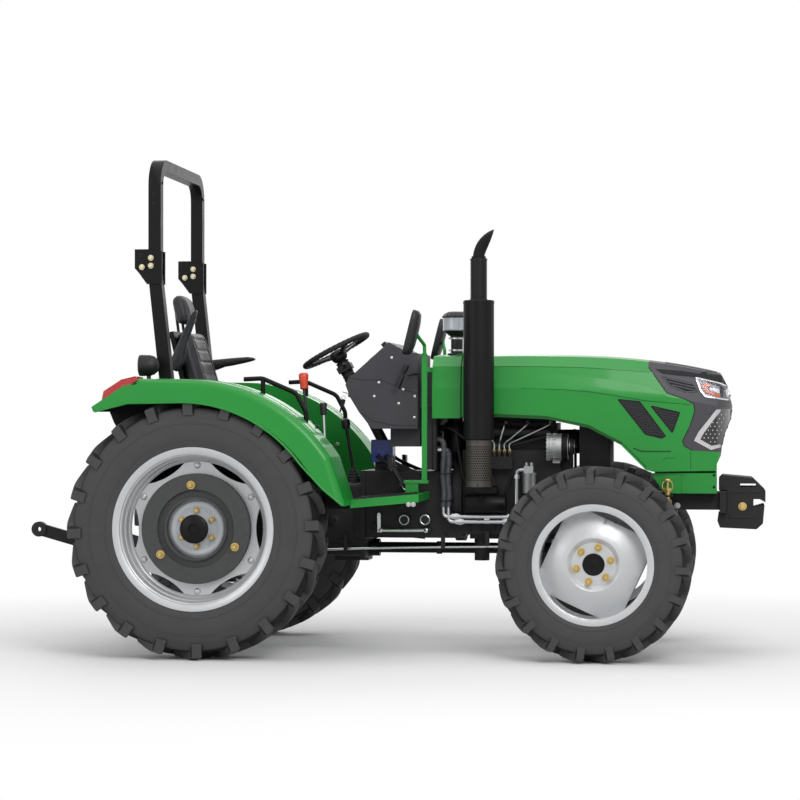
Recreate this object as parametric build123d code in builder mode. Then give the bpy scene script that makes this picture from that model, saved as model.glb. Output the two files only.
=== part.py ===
"""Open-station four-wheel-drive farm tractor with a folding roll bar.

Millimetres, +X forward, +Y to the driver's left, +Z up. The pieces are modelled with X = 0 at the
rear axle and Z = 0 on the ground, and are written with X = 0 midway between the two ends.
"""

import os
from math import cos, radians, sin, sqrt

from build123d import *

os.makedirs("parts", exist_ok=True)

# Overall layout
WHEELBASE = 1830.0
REAR_TREAD = 1320.0
FRONT_TREAD = 1240.0
ROLL_BAR_TOP = 2345.0
RUN_GAP = 0.3  # radial clearance of a pin or shaft in its bore

# Tyres and wheels
REAR_RADIUS = 602.5
REAR_WIDTH = 285.0
REAR_BEAD = 355.5
REAR_LUGS = 20
FRONT_RADIUS = 447.5
FRONT_WIDTH = 211.0
FRONT_BEAD = 254.0
FRONT_LUGS = 19
LUG_HEIGHT = 36.0
RIM_WALL = 9.0
FLANGE_RISE = 22.0
REAR_SCALLOPS = 6
WEIGHT_OUTER = 255.0
WEIGHT_INNER = 136.0
WEIGHT_THICK = 45.0
REAR_STUB = 40.0

# Drive train
REAR_AXLE_Z = REAR_RADIUS
FRONT_HUB_Z = FRONT_RADIUS
CASE_HALF = 170.0  # half width of gearbox and engine block
CASE_TOP = 800.0
CASE_BOTTOM = 450.0
AXLE_CASE_HALF = 190.0
AXLE_CASE_REAR = -190.0
AXLE_CASE_FRONT = 180.0
TRUMPET_RADIUS = 85.0
ENGINE_REAR = 1180.0
ENGINE_TO_AXLE = 140.0  # engine's front face behind the front axle
ENGINE_TOP = 960.0
ENGINE_BOTTOM = 560.0
HEAD_HALF = 130.0
HEAD_TOP = 1150.0
SUMP_BOTTOM = 535.0
SHAFT_Z = 485.0
SHAFT_RADIUS = 26.0

FAN_Z = 1000.0
FAN_RADIUS = 185.0
FAN_BLADES = 6
PULLEY_RADIUS = 72.0

# Front axle and steering
KINGPIN_Y = 440.0
KINGPIN_RADIUS = 20.0
BARREL_RADIUS = 58.0
BARREL_LOW = 410.0
BARREL_HIGH = 560.0
YOKE_GAP = 6.0
YOKE_PLATE = 24.0
TRUNNION_RADIUS = 40.0
STEER_ARM = 180.0
STEER_ROD_Z = 408.0
STEER_ROD_RADIUS = 12.0
STEER_EYE_HALF = 14.0
SPINDLE_RADIUS = 25.0

# Front frame
RAIL_TOP = 760.0
RAIL_BOTTOM = 680.0
RAIL_OUTER = 150.0
RAIL_WALL = 30.0
WEIGHT_COUNT = 6
WEIGHT_PITCH = 50.0
WEIGHT_WIDTH = 46.0
WEIGHT_REACH = 782.0  # front weights' front end ahead of the front axle
LINK_EYE = 36.0  # outer radius of a lower link's rear eye

# Bodywork
SKIN = 5.0
HOOD_REAR = 1190.0
HOOD_HALF = 310.0
HOOD_TOP = 1418.0
COWL_REAR = 1050.0
SEAM = 5.0
FENDER_INNER = 505.0
FENDER_OUTER = 816.0
PLATFORM_OUTER = 620.0
POST_Y = 420.0

# Roll bar
BAR_Y = 470.0
BAR_TUBE = 60.0
BAR_X = -247.0
BAR_FOOT_X = -128.0
BAR_SPLIT = 1802.0
BAR_PIVOT_BACK = 56.0
BAR_PIVOT_RISE = 23.0

# Rear linkage
LINK_PIVOT = (-40.0, 340.0)
LINK_PIVOT_Y = 232.0
LINK_BALL = (-840.0, 580.0)
LINK_BALL_Y = 366.0
LINK_PIN_BORE = 11.2
LINK_EYE_WIDTH = 35.0
LIFT_ARM = 320.0
LIFT_ROD = (-20.0, 500.0)
PTO_RADIUS = 17.46
PTO_Z = 560.0
DRAWBAR_Z = 400.0
DRAWBAR_BORE = 13.0

# Steering column
COLUMN_TOP = (543.0, 1441.0)
COLUMN_LEAN = 27.5  # degrees from the vertical
STEER_WHEEL_RADIUS = 182.0
COLUMN_RADIUS = 26.0

# Side view of one suitcase weight: X from its front end, and Z
WEIGHT_OUTLINE = [
    (-218, 829),
    (-201, 844),
    (-61, 832),
    (0, 772),
    (0, 716),
    (-27, 731),
    (-56, 731),
    (-56, 690),
    (-4, 705),
    (-12, 616),
    (-42, 589),
    (-213, 596),
    (-225, 627),
    (-220, 661),
    (-216, 663),
    (-182, 663),
    (-182, 771),
    (-218, 771),
]

# Derived positions
ENGINE_FRONT = WHEELBASE - ENGINE_TO_AXLE
FRONT_END = WHEELBASE + WEIGHT_REACH
BAR_PIVOT = (BAR_X - BAR_PIVOT_BACK, BAR_SPLIT + BAR_PIVOT_RISE)
MID_X = (FRONT_END + LINK_BALL[0] - LINK_EYE) / 2
REAR_AXLE_END = 600.0
HUB_GAP = 6.0
REAR_HUB_INNER = REAR_TREAD / 2 - REAR_AXLE_END - HUB_GAP
KNUCKLE_FACE = KINGPIN_Y + BARREL_RADIUS + YOKE_GAP + 40
FRONT_HUB_INNER = FRONT_TREAD / 2 - KNUCKLE_FACE - HUB_GAP
COLUMN_DOWN = (sin(radians(COLUMN_LEAN)), -cos(radians(COLUMN_LEAN)))
LINK_RUN = (LINK_BALL[0] - LINK_PIVOT[0], LINK_BALL[1] - LINK_PIVOT[1])
LINK_LENGTH = sqrt(LINK_RUN[0] ** 2 + LINK_RUN[1] ** 2)
LINK_DIR = (LINK_RUN[0] / LINK_LENGTH, LINK_RUN[1] / LINK_LENGTH)
ROCK_SHAFT = (LINK_PIVOT[0] + LIFT_ROD[0], LINK_PIVOT[1] + LIFT_ROD[1])
ARM_TIP = (ROCK_SHAFT[0] + LINK_DIR[0] * LIFT_ARM, ROCK_SHAFT[1] + LINK_DIR[1] * LIFT_ARM)
LINK_PIN = (LINK_PIVOT[0] + LINK_DIR[0] * LIFT_ARM, LINK_PIVOT[1] + LINK_DIR[1] * LIFT_ARM)
LINK_PIN_Y = LINK_PIVOT_Y + (LINK_BALL_Y - LINK_PIVOT_Y) * LIFT_ARM / LINK_LENGTH


def side(y):
    """Sketch plane at Y = y whose axes are X and Z and whose extrusions go towards -Y."""
    return Plane.XZ.offset(-y)


def across(x):
    """Sketch plane at X = x whose axes are Y and Z and whose extrusions go towards +X."""
    return Plane.YZ.offset(x)


def level(z):
    """Sketch plane at Z = z whose extrusions go up."""
    return Plane.XY.offset(z)


def block(x, y, z, mode=Mode.ADD):
    """Box between pairs of coordinates, in the open part."""
    centre = tuple((a + b) / 2 for a, b in (x, y, z))
    with Locations(centre):
        Box(x[1] - x[0], y[1] - y[0], z[1] - z[0], mode=mode)


def rod(start, end, radius, mode=Mode.ADD, radius_end=None):
    """Round bar between two points, in the open part."""
    run = Vector(*end) - Vector(*start)
    with BuildSketch(Plane(origin=start, z_dir=run)) as section:
        Circle(radius)
    if radius_end is None:
        extrude(section.sketch, amount=run.length, mode=mode)
        return
    with BuildSketch(Plane(origin=end, z_dir=run)) as far:
        Circle(radius_end)
    loft([section.sketch.face(), far.sketch.face()], mode=mode)


def side_outline(points, y_low, y_high, mode=Mode.ADD):
    """Prism of a side-view outline between two Y values, in the open part."""
    with BuildSketch(side(y_high)) as outline:
        with BuildLine():
            Polyline(*points, close=True)
        make_face()
    extrude(outline.sketch, amount=y_high - y_low, mode=mode)


def both_sides(piece):
    """A right-hand piece (Y below 0) and its left-hand mirror image."""
    return piece, piece.mirror(Plane.XZ)


def write(name, piece):
    """Moves a finished piece to the written frame and saves it under its node's name."""
    placed = piece.moved(Location((-MID_X, 0, 0)))
    placed.label = name
    export_step(placed, f"parts/{name}.step")


def write_pair(name, piece):
    """Saves a right-hand piece and its mirror image as two nodes."""
    right, left = both_sides(piece)
    write(f"{name}_right", right)
    write(f"{name}_left", left)


# Tyres, modelled about the Y axis
def tyre_ring(radius, y, sides):
    """Polygon round the Y axis with a corner at its top."""
    with BuildSketch(side(y)) as ring:
        RegularPolygon(radius, sides, rotation=90)
    return ring.sketch.face()


def make_tyre(radius, width, bead, lugs):
    """Faceted carcass with chevron bars, two facets to the pitch of the bars."""
    half = width / 2
    sides = 2 * lugs
    bore = bead / cos(radians(180 / sides))
    tread = radius - LUG_HEIGHT
    belly = bead + (tread - bead) * 0.48
    crown = half * 0.86
    seat = half * 0.76
    sweep_back = half * 0.66
    bar = half * 0.30
    outline = [
        (bar * 0.55, -half * 0.04),
        (-sweep_back, half * 0.96),
        (-sweep_back - bar * 1.1, half * 0.96),
        (-bar * 0.45, -half * 0.04),
    ]
    with BuildPart() as left_bar:
        with BuildSketch(level(tread - LUG_HEIGHT)) as bar_foot:
            with BuildLine():
                Polyline(*outline, close=True)
            make_face()
        extrude(bar_foot.sketch, amount=3 * LUG_HEIGHT, taper=4)
        reach = [tyre_ring(radius, -half, sides), tyre_ring(radius, half, sides)]
        loft(reach, ruled=True, mode=Mode.INTERSECT)
    right_bar = left_bar.part.mirror(Plane.XZ).rotate(Axis.Y, 180 / lugs)
    cone_end = half + 5
    cone_radius = bore + (belly - LUG_HEIGHT / 6 - bore) * (cone_end - seat) / (half - seat)
    with BuildPart() as tyre:
        loft([tyre_ring(tread, -crown, sides), tyre_ring(tread, crown, sides)], ruled=True)
        for way in (-1, 1):
            loft([tyre_ring(belly, way * half, sides), tyre_ring(tread, way * crown, sides)], ruled=True)
        turns = [k * 360 / lugs for k in range(lugs)]
        add([bar.rotate(Axis.Y, turn) for turn in turns for bar in (left_bar.part, right_bar)])
        loft([tyre_ring(bore, -half, sides), tyre_ring(bore, half, sides)], ruled=True, mode=Mode.SUBTRACT)
        for way in (-1, 1):
            cone = [tyre_ring(bore, way * seat, sides), tyre_ring(cone_radius, way * cone_end, sides)]
            loft(cone, ruled=True, mode=Mode.SUBTRACT)
    return tyre.part


def rim_section(bead, width):
    """Half-profile of a rim: flanges, bead seats and well, as Y and radius pairs."""
    half = width / 2
    seat = half * 0.80
    return [
        (-half * 0.92, bead + FLANGE_RISE),
        (-half * 0.86, bead + FLANGE_RISE),
        (-seat, bead),
        (seat, bead),
        (half * 0.86, bead + FLANGE_RISE),
        (half * 0.92, bead + FLANGE_RISE),
        (seat + RIM_WALL, bead - RIM_WALL),
        (-seat - RIM_WALL, bead - RIM_WALL),
    ]


# Rear wheel, right hand, outward is -Y
def make_rear_rim():
    inner = REAR_BEAD - RIM_WALL
    disc_out = -22.0
    disc_thick = 12.0
    scallop = 283.0
    with BuildPart() as rim:
        with BuildSketch(Plane.YZ):
            with BuildLine():
                Polyline(*rim_section(REAR_BEAD, REAR_WIDTH), close=True)
            make_face()
        revolve(axis=Axis.Y)
        with BuildSketch(side(disc_out + disc_thick)):
            Circle(inner + RIM_WALL / 2)
            with PolarLocations(inner - 70 + scallop, REAR_SCALLOPS):
                Circle(scallop, mode=Mode.SUBTRACT)
        extrude(amount=disc_thick)
        rod((0, REAR_HUB_INNER, 0), (0, disc_out, 0), 105)
        rod((0, disc_out, 0), (0, disc_out - WEIGHT_THICK - 25, 0), 66)
        rod((0, REAR_HUB_INNER, 0), (0, disc_out, 0), REAR_STUB + RUN_GAP, mode=Mode.SUBTRACT)
    return rim.part


def make_wheel_weight():
    face = -22.0
    step = 20.0
    with BuildPart() as weight:
        with BuildSketch(side(face)):
            Circle(WEIGHT_OUTER)
            Circle(WEIGHT_INNER, mode=Mode.SUBTRACT)
        extrude(amount=WEIGHT_THICK)
        with BuildSketch(side(face - WEIGHT_THICK + step)):
            Circle(WEIGHT_OUTER - 75)
            Circle(WEIGHT_INNER + 12, mode=Mode.SUBTRACT)
        extrude(amount=step, mode=Mode.SUBTRACT)
    return weight.part


# Front wheel, right hand, outward is -Y
def make_front_rim():
    inner = FRONT_BEAD - RIM_WALL
    hub_out = -34.0
    ridge_out = -52.0
    edge_out = -8.0
    plate = 9.0
    flat = 212.0
    with BuildPart() as rim:
        with BuildSketch(Plane.YZ):
            with BuildLine():
                Polyline(
                    (hub_out, 49),
                    (hub_out, 100),
                    (ridge_out, 122),
                    (edge_out, inner + RIM_WALL / 2),
                    (edge_out + plate, inner + RIM_WALL / 2),
                    (ridge_out + plate, 126),
                    (hub_out + plate, 108),
                    (hub_out + plate, 49),
                    close=True,
                )
            make_face()
        revolve(axis=Axis.Y)
        with BuildSketch(side(0)):
            Circle(inner + RIM_WALL)
            RegularPolygon(flat, 4, major_radius=False, rotation=20, mode=Mode.SUBTRACT)
        extrude(amount=60, both=True, mode=Mode.SUBTRACT)
        with BuildSketch(Plane.YZ):
            with BuildLine():
                Polyline(*rim_section(FRONT_BEAD, FRONT_WIDTH), close=True)
            make_face()
        revolve(axis=Axis.Y)
        rod((0, FRONT_HUB_INNER, 0), (0, hub_out + plate / 2, 0), 62)
        rod((0, FRONT_HUB_INNER, 0), (0, hub_out + 16, 0), SPINDLE_RADIUS + RUN_GAP, mode=Mode.SUBTRACT)
    return rim.part


REAR_PLACE = Location((0, -REAR_TREAD / 2, REAR_AXLE_Z))
FRONT_PLACE = Location((WHEELBASE, -FRONT_TREAD / 2, FRONT_HUB_Z))
rear_tyre = make_tyre(REAR_RADIUS, REAR_WIDTH, REAR_BEAD, REAR_LUGS)
front_tyre = make_tyre(FRONT_RADIUS, FRONT_WIDTH, FRONT_BEAD, FRONT_LUGS)
write_pair("rear_tyre", rear_tyre.moved(REAR_PLACE))
write_pair("rear_rim", make_rear_rim().moved(REAR_PLACE))
write_pair("wheel_weight", make_wheel_weight().moved(REAR_PLACE))
write_pair("front_tyre", front_tyre.moved(FRONT_PLACE))
write_pair("front_rim", make_front_rim().moved(FRONT_PLACE))

# Gearbox, clutch housing and flywheel bell
CRANK_Z = 740.0
GEARBOX_FRONT = 700.0
CLUTCH_BOTTOM = 540.0
CLUTCH_TOP = 860.0
BELL_RADIUS = 220.0
BELL_DEPTH = 45.0
FLANGE = 10.0
BOSS = 14.0
PEDAL_SHAFT = (905.0, 800.0)
with BuildPart() as transmission:
    block((AXLE_CASE_FRONT, GEARBOX_FRONT), (-CASE_HALF, CASE_HALF), (CASE_BOTTOM, CASE_TOP))
    fillet(transmission.edges().filter_by(Axis.X), radius=30)
    block((GEARBOX_FRONT, ENGINE_REAR), (-CASE_HALF, CASE_HALF), (CLUTCH_BOTTOM, CLUTCH_TOP))
    flange = (-CASE_HALF - FLANGE, CASE_HALF + FLANGE)
    block((GEARBOX_FRONT - 12, GEARBOX_FRONT + 12), flange, (CASE_BOTTOM - FLANGE, CLUTCH_TOP))
    rod((ENGINE_REAR - BELL_DEPTH, 0, CRANK_Z), (ENGINE_REAR, 0, CRANK_Z), BELL_RADIUS)
    block((GEARBOX_FRONT - 150, GEARBOX_FRONT + 12), (-75, 75), (SHAFT_Z - 60, CASE_BOTTOM + 40))
    for boss in ((PEDAL_SHAFT[0] + 9, PEDAL_SHAFT[1] - 10), (900, 626), (1001, 627)):
        rod((boss[0], -CASE_HALF - BOSS, boss[1]), (boss[0], CASE_HALF + BOSS, boss[1]), 32)
write("transmission", transmission.part)

# Rear axle: centre case, trumpets, roll bar pads, hitch pivot lugs and power take-off stub
PAD_TOP = REAR_AXLE_Z + 90
LINK_PIVOT_PIN = 14.0
LINK_FRONT_WIDTH = 36.0
PTO_END = -300.0
with BuildPart() as rear_axle:
    block((AXLE_CASE_REAR, AXLE_CASE_FRONT), (-AXLE_CASE_HALF, AXLE_CASE_HALF), (CASE_BOTTOM - 30, CASE_TOP))
    fillet(rear_axle.edges().filter_by(Axis.Y), radius=40)
    rod((0, -REAR_AXLE_END, REAR_AXLE_Z), (0, REAR_AXLE_END, REAR_AXLE_Z), TRUMPET_RADIUS)
    for way in (-1, 1):
        rod((0, way * AXLE_CASE_HALF, REAR_AXLE_Z), (0, way * (AXLE_CASE_HALF + 25), REAR_AXLE_Z), 150)
        rod((0, way * (REAR_AXLE_END - 20), REAR_AXLE_Z), (0, way * REAR_AXLE_END, REAR_AXLE_Z), 102)
        rod(
            (0, way * REAR_AXLE_END, REAR_AXLE_Z),
            (0, way * (REAR_TREAD / 2 + 14), REAR_AXLE_Z),
            REAR_STUB,
        )
        pad = sorted((way * (BAR_Y - BAR_TUBE / 2 - 8), way * (BAR_Y + BAR_TUBE / 2)))
        block((-80, 80), pad, (REAR_AXLE_Z, PAD_TOP))
        lug = sorted((way * (AXLE_CASE_HALF - 45), way * (LINK_PIVOT_Y - LINK_FRONT_WIDTH / 2 - 6)))
        block((LINK_PIVOT[0] - 45, LINK_PIVOT[0] + 45), lug, (LINK_PIVOT[1] - 40, CASE_BOTTOM))
        rod(
            (LINK_PIVOT[0], way * (AXLE_CASE_HALF - 40), LINK_PIVOT[1]),
            (LINK_PIVOT[0], way * (LINK_PIVOT_Y + LINK_FRONT_WIDTH / 2 + 8), LINK_PIVOT[1]),
            LINK_PIVOT_PIN,
        )
    rod((AXLE_CASE_REAR, 0, PTO_Z), (AXLE_CASE_REAR - 25, 0, PTO_Z), 70)
    rod((AXLE_CASE_REAR, 0, PTO_Z), (PTO_END, 0, PTO_Z), PTO_RADIUS)
write("rear_axle", rear_axle.part)

# Hydraulic lift housing with the rock shaft bore and the top link bracket
LIFT_TOP = 900.0
LIFT_HALF = 150.0
ROCK_RADIUS = 30.0
TOP_LINK_BORE = 9.7
TOP_LINK = (AXLE_CASE_REAR - 48, CASE_TOP + 32)
with BuildPart() as lift_housing:
    block((AXLE_CASE_REAR, AXLE_CASE_FRONT - 30), (-LIFT_HALF, LIFT_HALF), (CASE_TOP, LIFT_TOP))
    fillet(lift_housing.edges().filter_by(Axis.Z), radius=25)
    for way in (-1, 1):
        cheek = sorted((way * 24, way * 42))
        block((TOP_LINK[0] - 26, AXLE_CASE_REAR + 10), cheek, (TOP_LINK[1] - 28, TOP_LINK[1] + 28))
    rod(
        (TOP_LINK[0], -60, TOP_LINK[1]), (TOP_LINK[0], 60, TOP_LINK[1]), TOP_LINK_BORE, mode=Mode.SUBTRACT
    )
    rod(
        (ROCK_SHAFT[0], -LIFT_HALF, ROCK_SHAFT[1]),
        (ROCK_SHAFT[0], LIFT_HALF, ROCK_SHAFT[1]),
        ROCK_RADIUS + RUN_GAP,
        mode=Mode.SUBTRACT,
    )
write("lift_housing", lift_housing.part)

# Drawbar hung below the rear axle
DRAWBAR_END = -520.0
with BuildPart() as drawbar:
    block((DRAWBAR_END, -60), (-38, 38), (DRAWBAR_Z - 15, DRAWBAR_Z + 15))
    block((AXLE_CASE_REAR + 45, -60), (-60, 60), (DRAWBAR_Z - 25, CASE_BOTTOM - 30))
    rod(
        (DRAWBAR_END + 45, 0, DRAWBAR_Z - 40),
        (DRAWBAR_END + 45, 0, DRAWBAR_Z + 40),
        DRAWBAR_BORE,
        mode=Mode.SUBTRACT,
    )
write("drawbar", drawbar.part)

# Lift arms on the rock shaft, right and left, one turning piece
ARM_Y = 277.0
ARM_THICK = 30.0
ROD_Y = 316.0
ROD_EYE_WIDTH = 30.0
ARM_PIN = 12.0
with BuildPart() as lift_arms:
    rod((ROCK_SHAFT[0], -ARM_Y, ROCK_SHAFT[1]), (ROCK_SHAFT[0], ARM_Y, ROCK_SHAFT[1]), ROCK_RADIUS)
    for way in (-1, 1):
        near = sorted((way * (ARM_Y - ARM_THICK / 2), way * (ARM_Y + ARM_THICK / 2)))
        rod((ROCK_SHAFT[0], near[0], ROCK_SHAFT[1]), (ROCK_SHAFT[0], near[1], ROCK_SHAFT[1]), 52)
        rod((ARM_TIP[0], near[0], ARM_TIP[1]), (ARM_TIP[0], near[1], ARM_TIP[1]), 30)
        normal = (-LINK_DIR[1], LINK_DIR[0])
        web = [
            (ROCK_SHAFT[0] + normal[0] * 42, ROCK_SHAFT[1] + normal[1] * 42),
            (ARM_TIP[0] + normal[0] * 26, ARM_TIP[1] + normal[1] * 26),
            (ARM_TIP[0] - normal[0] * 26, ARM_TIP[1] - normal[1] * 26),
            (ROCK_SHAFT[0] - normal[0] * 42, ROCK_SHAFT[1] - normal[1] * 42),
        ]
        side_outline(web, near[0], near[1])
        rod(
            (ARM_TIP[0], way * ARM_Y, ARM_TIP[1]),
            (ARM_TIP[0], way * (ROD_Y + ROD_EYE_WIDTH / 2 + 6), ARM_TIP[1]),
            ARM_PIN,
        )
write("lift_arms", lift_arms.part)

# Lift rod, right hand
with BuildPart() as lift_rod:
    rod((ARM_TIP[0], -ROD_Y, ARM_TIP[1]), (LINK_PIN[0], -ROD_Y, LINK_PIN[1]), 13)
    turnbuckle = 0.62
    upper = (
        ARM_TIP[0] - LIFT_ROD[0] * 0.25,
        -ROD_Y,
        ARM_TIP[1] - LIFT_ROD[1] * 0.25,
    )
    lower = (
        ARM_TIP[0] - LIFT_ROD[0] * turnbuckle,
        -ROD_Y,
        ARM_TIP[1] - LIFT_ROD[1] * turnbuckle,
    )
    rod(upper, lower, 20)
    for eye in (ARM_TIP, LINK_PIN):
        rod(
            (eye[0], -ROD_Y - ROD_EYE_WIDTH / 2, eye[1]), (eye[0], -ROD_Y + ROD_EYE_WIDTH / 2, eye[1]), 27
        )
    for eye in (ARM_TIP, LINK_PIN):
        rod(
            (eye[0], -ROD_Y - ROD_EYE_WIDTH, eye[1]),
            (eye[0], -ROD_Y + ROD_EYE_WIDTH, eye[1]),
            ARM_PIN + RUN_GAP,
            mode=Mode.SUBTRACT,
        )
write_pair("lift_rod", lift_rod.part)

# Lower link, right hand: bar, front eye, rear eye and the lift rod's pin
with BuildPart() as lower_link:
    run = Vector(LINK_RUN[0], -(LINK_BALL_Y - LINK_PIVOT_Y), LINK_RUN[1])
    front_eye = (LINK_PIVOT[0], -LINK_PIVOT_Y, LINK_PIVOT[1])
    with BuildSketch(Plane(origin=front_eye, x_dir=(0, 1, 0), z_dir=run)):
        Rectangle(22, 58)
    extrude(amount=run.length)
    rod(
        (LINK_PIVOT[0], -LINK_PIVOT_Y - LINK_FRONT_WIDTH / 2, LINK_PIVOT[1]),
        (LINK_PIVOT[0], -LINK_PIVOT_Y + LINK_FRONT_WIDTH / 2, LINK_PIVOT[1]),
        38,
    )
    rod(
        (LINK_BALL[0], -LINK_BALL_Y - LINK_EYE_WIDTH / 2, LINK_BALL[1]),
        (LINK_BALL[0], -LINK_BALL_Y + LINK_EYE_WIDTH / 2, LINK_BALL[1]),
        LINK_EYE,
    )
    rod(
        (LINK_PIN[0], -LINK_PIN_Y, LINK_PIN[1]),
        (LINK_PIN[0], -ROD_Y - ROD_EYE_WIDTH / 2 - 6, LINK_PIN[1]),
        ARM_PIN,
    )
    rod(
        (LINK_PIVOT[0], -LINK_PIVOT_Y - 60, LINK_PIVOT[1]),
        (LINK_PIVOT[0], -LINK_PIVOT_Y + 60, LINK_PIVOT[1]),
        LINK_PIVOT_PIN + RUN_GAP,
        mode=Mode.SUBTRACT,
    )
    rod(
        (LINK_BALL[0], -LINK_BALL_Y - 60, LINK_BALL[1]),
        (LINK_BALL[0], -LINK_BALL_Y + 60, LINK_BALL[1]),
        LINK_PIN_BORE,
        mode=Mode.SUBTRACT,
    )
write_pair("lower_link", lower_link.part)

# Engine: crankcase, head, rocker cover, sump, manifolds with their ports, injection pump and pulleys
PORTS = 4
MANIFOLD_Z = 1045.0
EXHAUST_LOG = (-168.0, 27.0)  # Y and radius
INTAKE_LOG = (172.0, 30.0)
THERMOSTAT = (ENGINE_FRONT - 110, 90.0, HEAD_TOP + 5)
with BuildPart() as engine:
    block((ENGINE_REAR + 40, ENGINE_FRONT - 90), (-75, 75), (HEAD_TOP - 60, HEAD_TOP))
    fillet(engine.edges().filter_by(Axis.Z) + engine.faces().sort_by(Axis.Z)[-1].edges(), radius=18)
    block((ENGINE_REAR, ENGINE_FRONT - 40), (-CASE_HALF, CASE_HALF), (ENGINE_BOTTOM, ENGINE_TOP))
    cover_half = CASE_HALF - 15
    block((ENGINE_FRONT - 40, ENGINE_FRONT), (-cover_half, cover_half), (ENGINE_BOTTOM, ENGINE_TOP - 20))
    block((ENGINE_REAR + 20, ENGINE_FRONT - 60), (-HEAD_HALF, HEAD_HALF), (ENGINE_TOP, HEAD_TOP - 60))
    block((ENGINE_REAR + 30, ENGINE_FRONT - 60), (-120, 120), (SUMP_BOTTOM, ENGINE_BOTTOM))
    port_pitch = (ENGINE_FRONT - ENGINE_REAR - 190) / (PORTS - 1)
    for y, radius in (EXHAUST_LOG, INTAKE_LOG):
        rod((ENGINE_REAR + 60, y, MANIFOLD_Z), (ENGINE_FRONT - 90, y, MANIFOLD_Z), radius)
        for k in range(PORTS):
            port_x = ENGINE_REAR + 80 + k * port_pitch
            rod((port_x, 0, MANIFOLD_Z), (port_x, y, MANIFOLD_Z), radius - 5)
    pump = (ENGINE_REAR + 140, ENGINE_REAR + 245)
    block(pump, (-CASE_HALF - 65, -CASE_HALF + 5), (872, 930))
    for k in range(PORTS):
        valve_x = pump[0] + 15 + k * 25
        rod((valve_x, -CASE_HALF - 35, 930), (valve_x, -CASE_HALF - 35, 958), 9)
    rod((THERMOSTAT[0], THERMOSTAT[1], HEAD_TOP - 60), THERMOSTAT, 30)
    rod((ENGINE_REAR + 130, 0, HEAD_TOP), (ENGINE_REAR + 130, 0, HEAD_TOP + 26), 26)
    rod((ENGINE_FRONT, 0, CRANK_Z), (ENGINE_FRONT + 38, 0, CRANK_Z), PULLEY_RADIUS)
    rod((ENGINE_FRONT - 60, 0, FAN_Z), (ENGINE_FRONT + 38, 0, FAN_Z), 58)
write("engine", engine.part)

# Parts bolted to the engine: alternator, filters, starter and fan
ALTERNATOR = (-238.0, 977.0)  # Y and Z
FILTER_X = ENGINE_FRONT - 189
FILTER_Y = -CASE_HALF - 34
FILTER_HEAD = (852.0, 885.0)
with BuildPart() as accessories:
    body = (ENGINE_FRONT - 100, ENGINE_FRONT)
    rod((body[0], *ALTERNATOR), (body[1], *ALTERNATOR), 62)
    rod((body[1], *ALTERNATOR), (body[1] + 30, *ALTERNATOR), 34)
    block((body[0] + 25, body[0] + 60), (-230, -CASE_HALF), (900, 945))
    rod((FILTER_X, FILTER_Y, 758), (FILTER_X, FILTER_Y, FILTER_HEAD[0]), 32)
    block((FILTER_X - 22, FILTER_X + 22), (FILTER_Y - 37, -CASE_HALF), FILTER_HEAD)
    starter = (ENGINE_REAR + 25, ENGINE_REAR + 210)
    rod((starter[0], -CASE_HALF - 47, 705), (starter[1], -CASE_HALF - 47, 705), 44)
    rod((starter[0] + 40, -CASE_HALF - 52, 768), (starter[1] - 40, -CASE_HALF - 52, 768), 24)
    block((starter[0] + 25, starter[1] - 60), (-CASE_HALF - 30, -CASE_HALF), (690, 720))
    rod((ENGINE_REAR + 85, -80, 430), (ENGINE_REAR + 85, -80, SUMP_BOTTOM), 36)
    rod((ENGINE_FRONT + 38, 0, FAN_Z), (ENGINE_FRONT + 78, 0, FAN_Z), 45)
    with BuildSketch(Plane(origin=(ENGINE_FRONT + 54, 0, FAN_Z), x_dir=(0, 1, 0), z_dir=(1, 0, 0))):
        with PolarLocations(FAN_RADIUS / 2 + 10, FAN_BLADES):
            Rectangle(FAN_RADIUS - 20, 62)
    extrude(amount=5)
write("engine_accessories", accessories.part)

# Radiator with its shroud and top hose, standing on the front frame
RADIATOR_REAR = ENGINE_FRONT + 95
RADIATOR_TOP = 1230.0
RADIATOR_HALF = 218.0
HOSE_RADIUS = 20.0
with BuildPart() as radiator:
    block((RADIATOR_REAR, RADIATOR_REAR + 95), (-RADIATOR_HALF, RADIATOR_HALF), (RAIL_TOP, RADIATOR_TOP))
    shroud = RADIATOR_HALF - 5
    block((RADIATOR_REAR - 45, RADIATOR_REAR), (-shroud, shroud), (RAIL_TOP + 25, RADIATOR_TOP - 10))
    rod(
        (RADIATOR_REAR - 60, 0, FAN_Z), (RADIATOR_REAR - 8, 0, FAN_Z), FAN_RADIUS + 12, mode=Mode.SUBTRACT
    )
    rod((RADIATOR_REAR + 45, -90, RADIATOR_TOP), (RADIATOR_REAR + 45, -90, RADIATOR_TOP + 30), 32)
    with BuildLine(side(THERMOSTAT[1])) as hose_path:
        FilletPolyline(
            (THERMOSTAT[0], THERMOSTAT[2]),
            (THERMOSTAT[0], RADIATOR_TOP + 42),
            (RADIATOR_REAR + 45, RADIATOR_TOP + 42),
            (RADIATOR_REAR + 45, RADIATOR_TOP - 5),
            radius=30,
        )
    with BuildSketch(Plane(origin=THERMOSTAT, z_dir=(0, 0, 1))):
        Circle(HOSE_RADIUS)
    sweep()
write("radiator", radiator.part)

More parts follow.
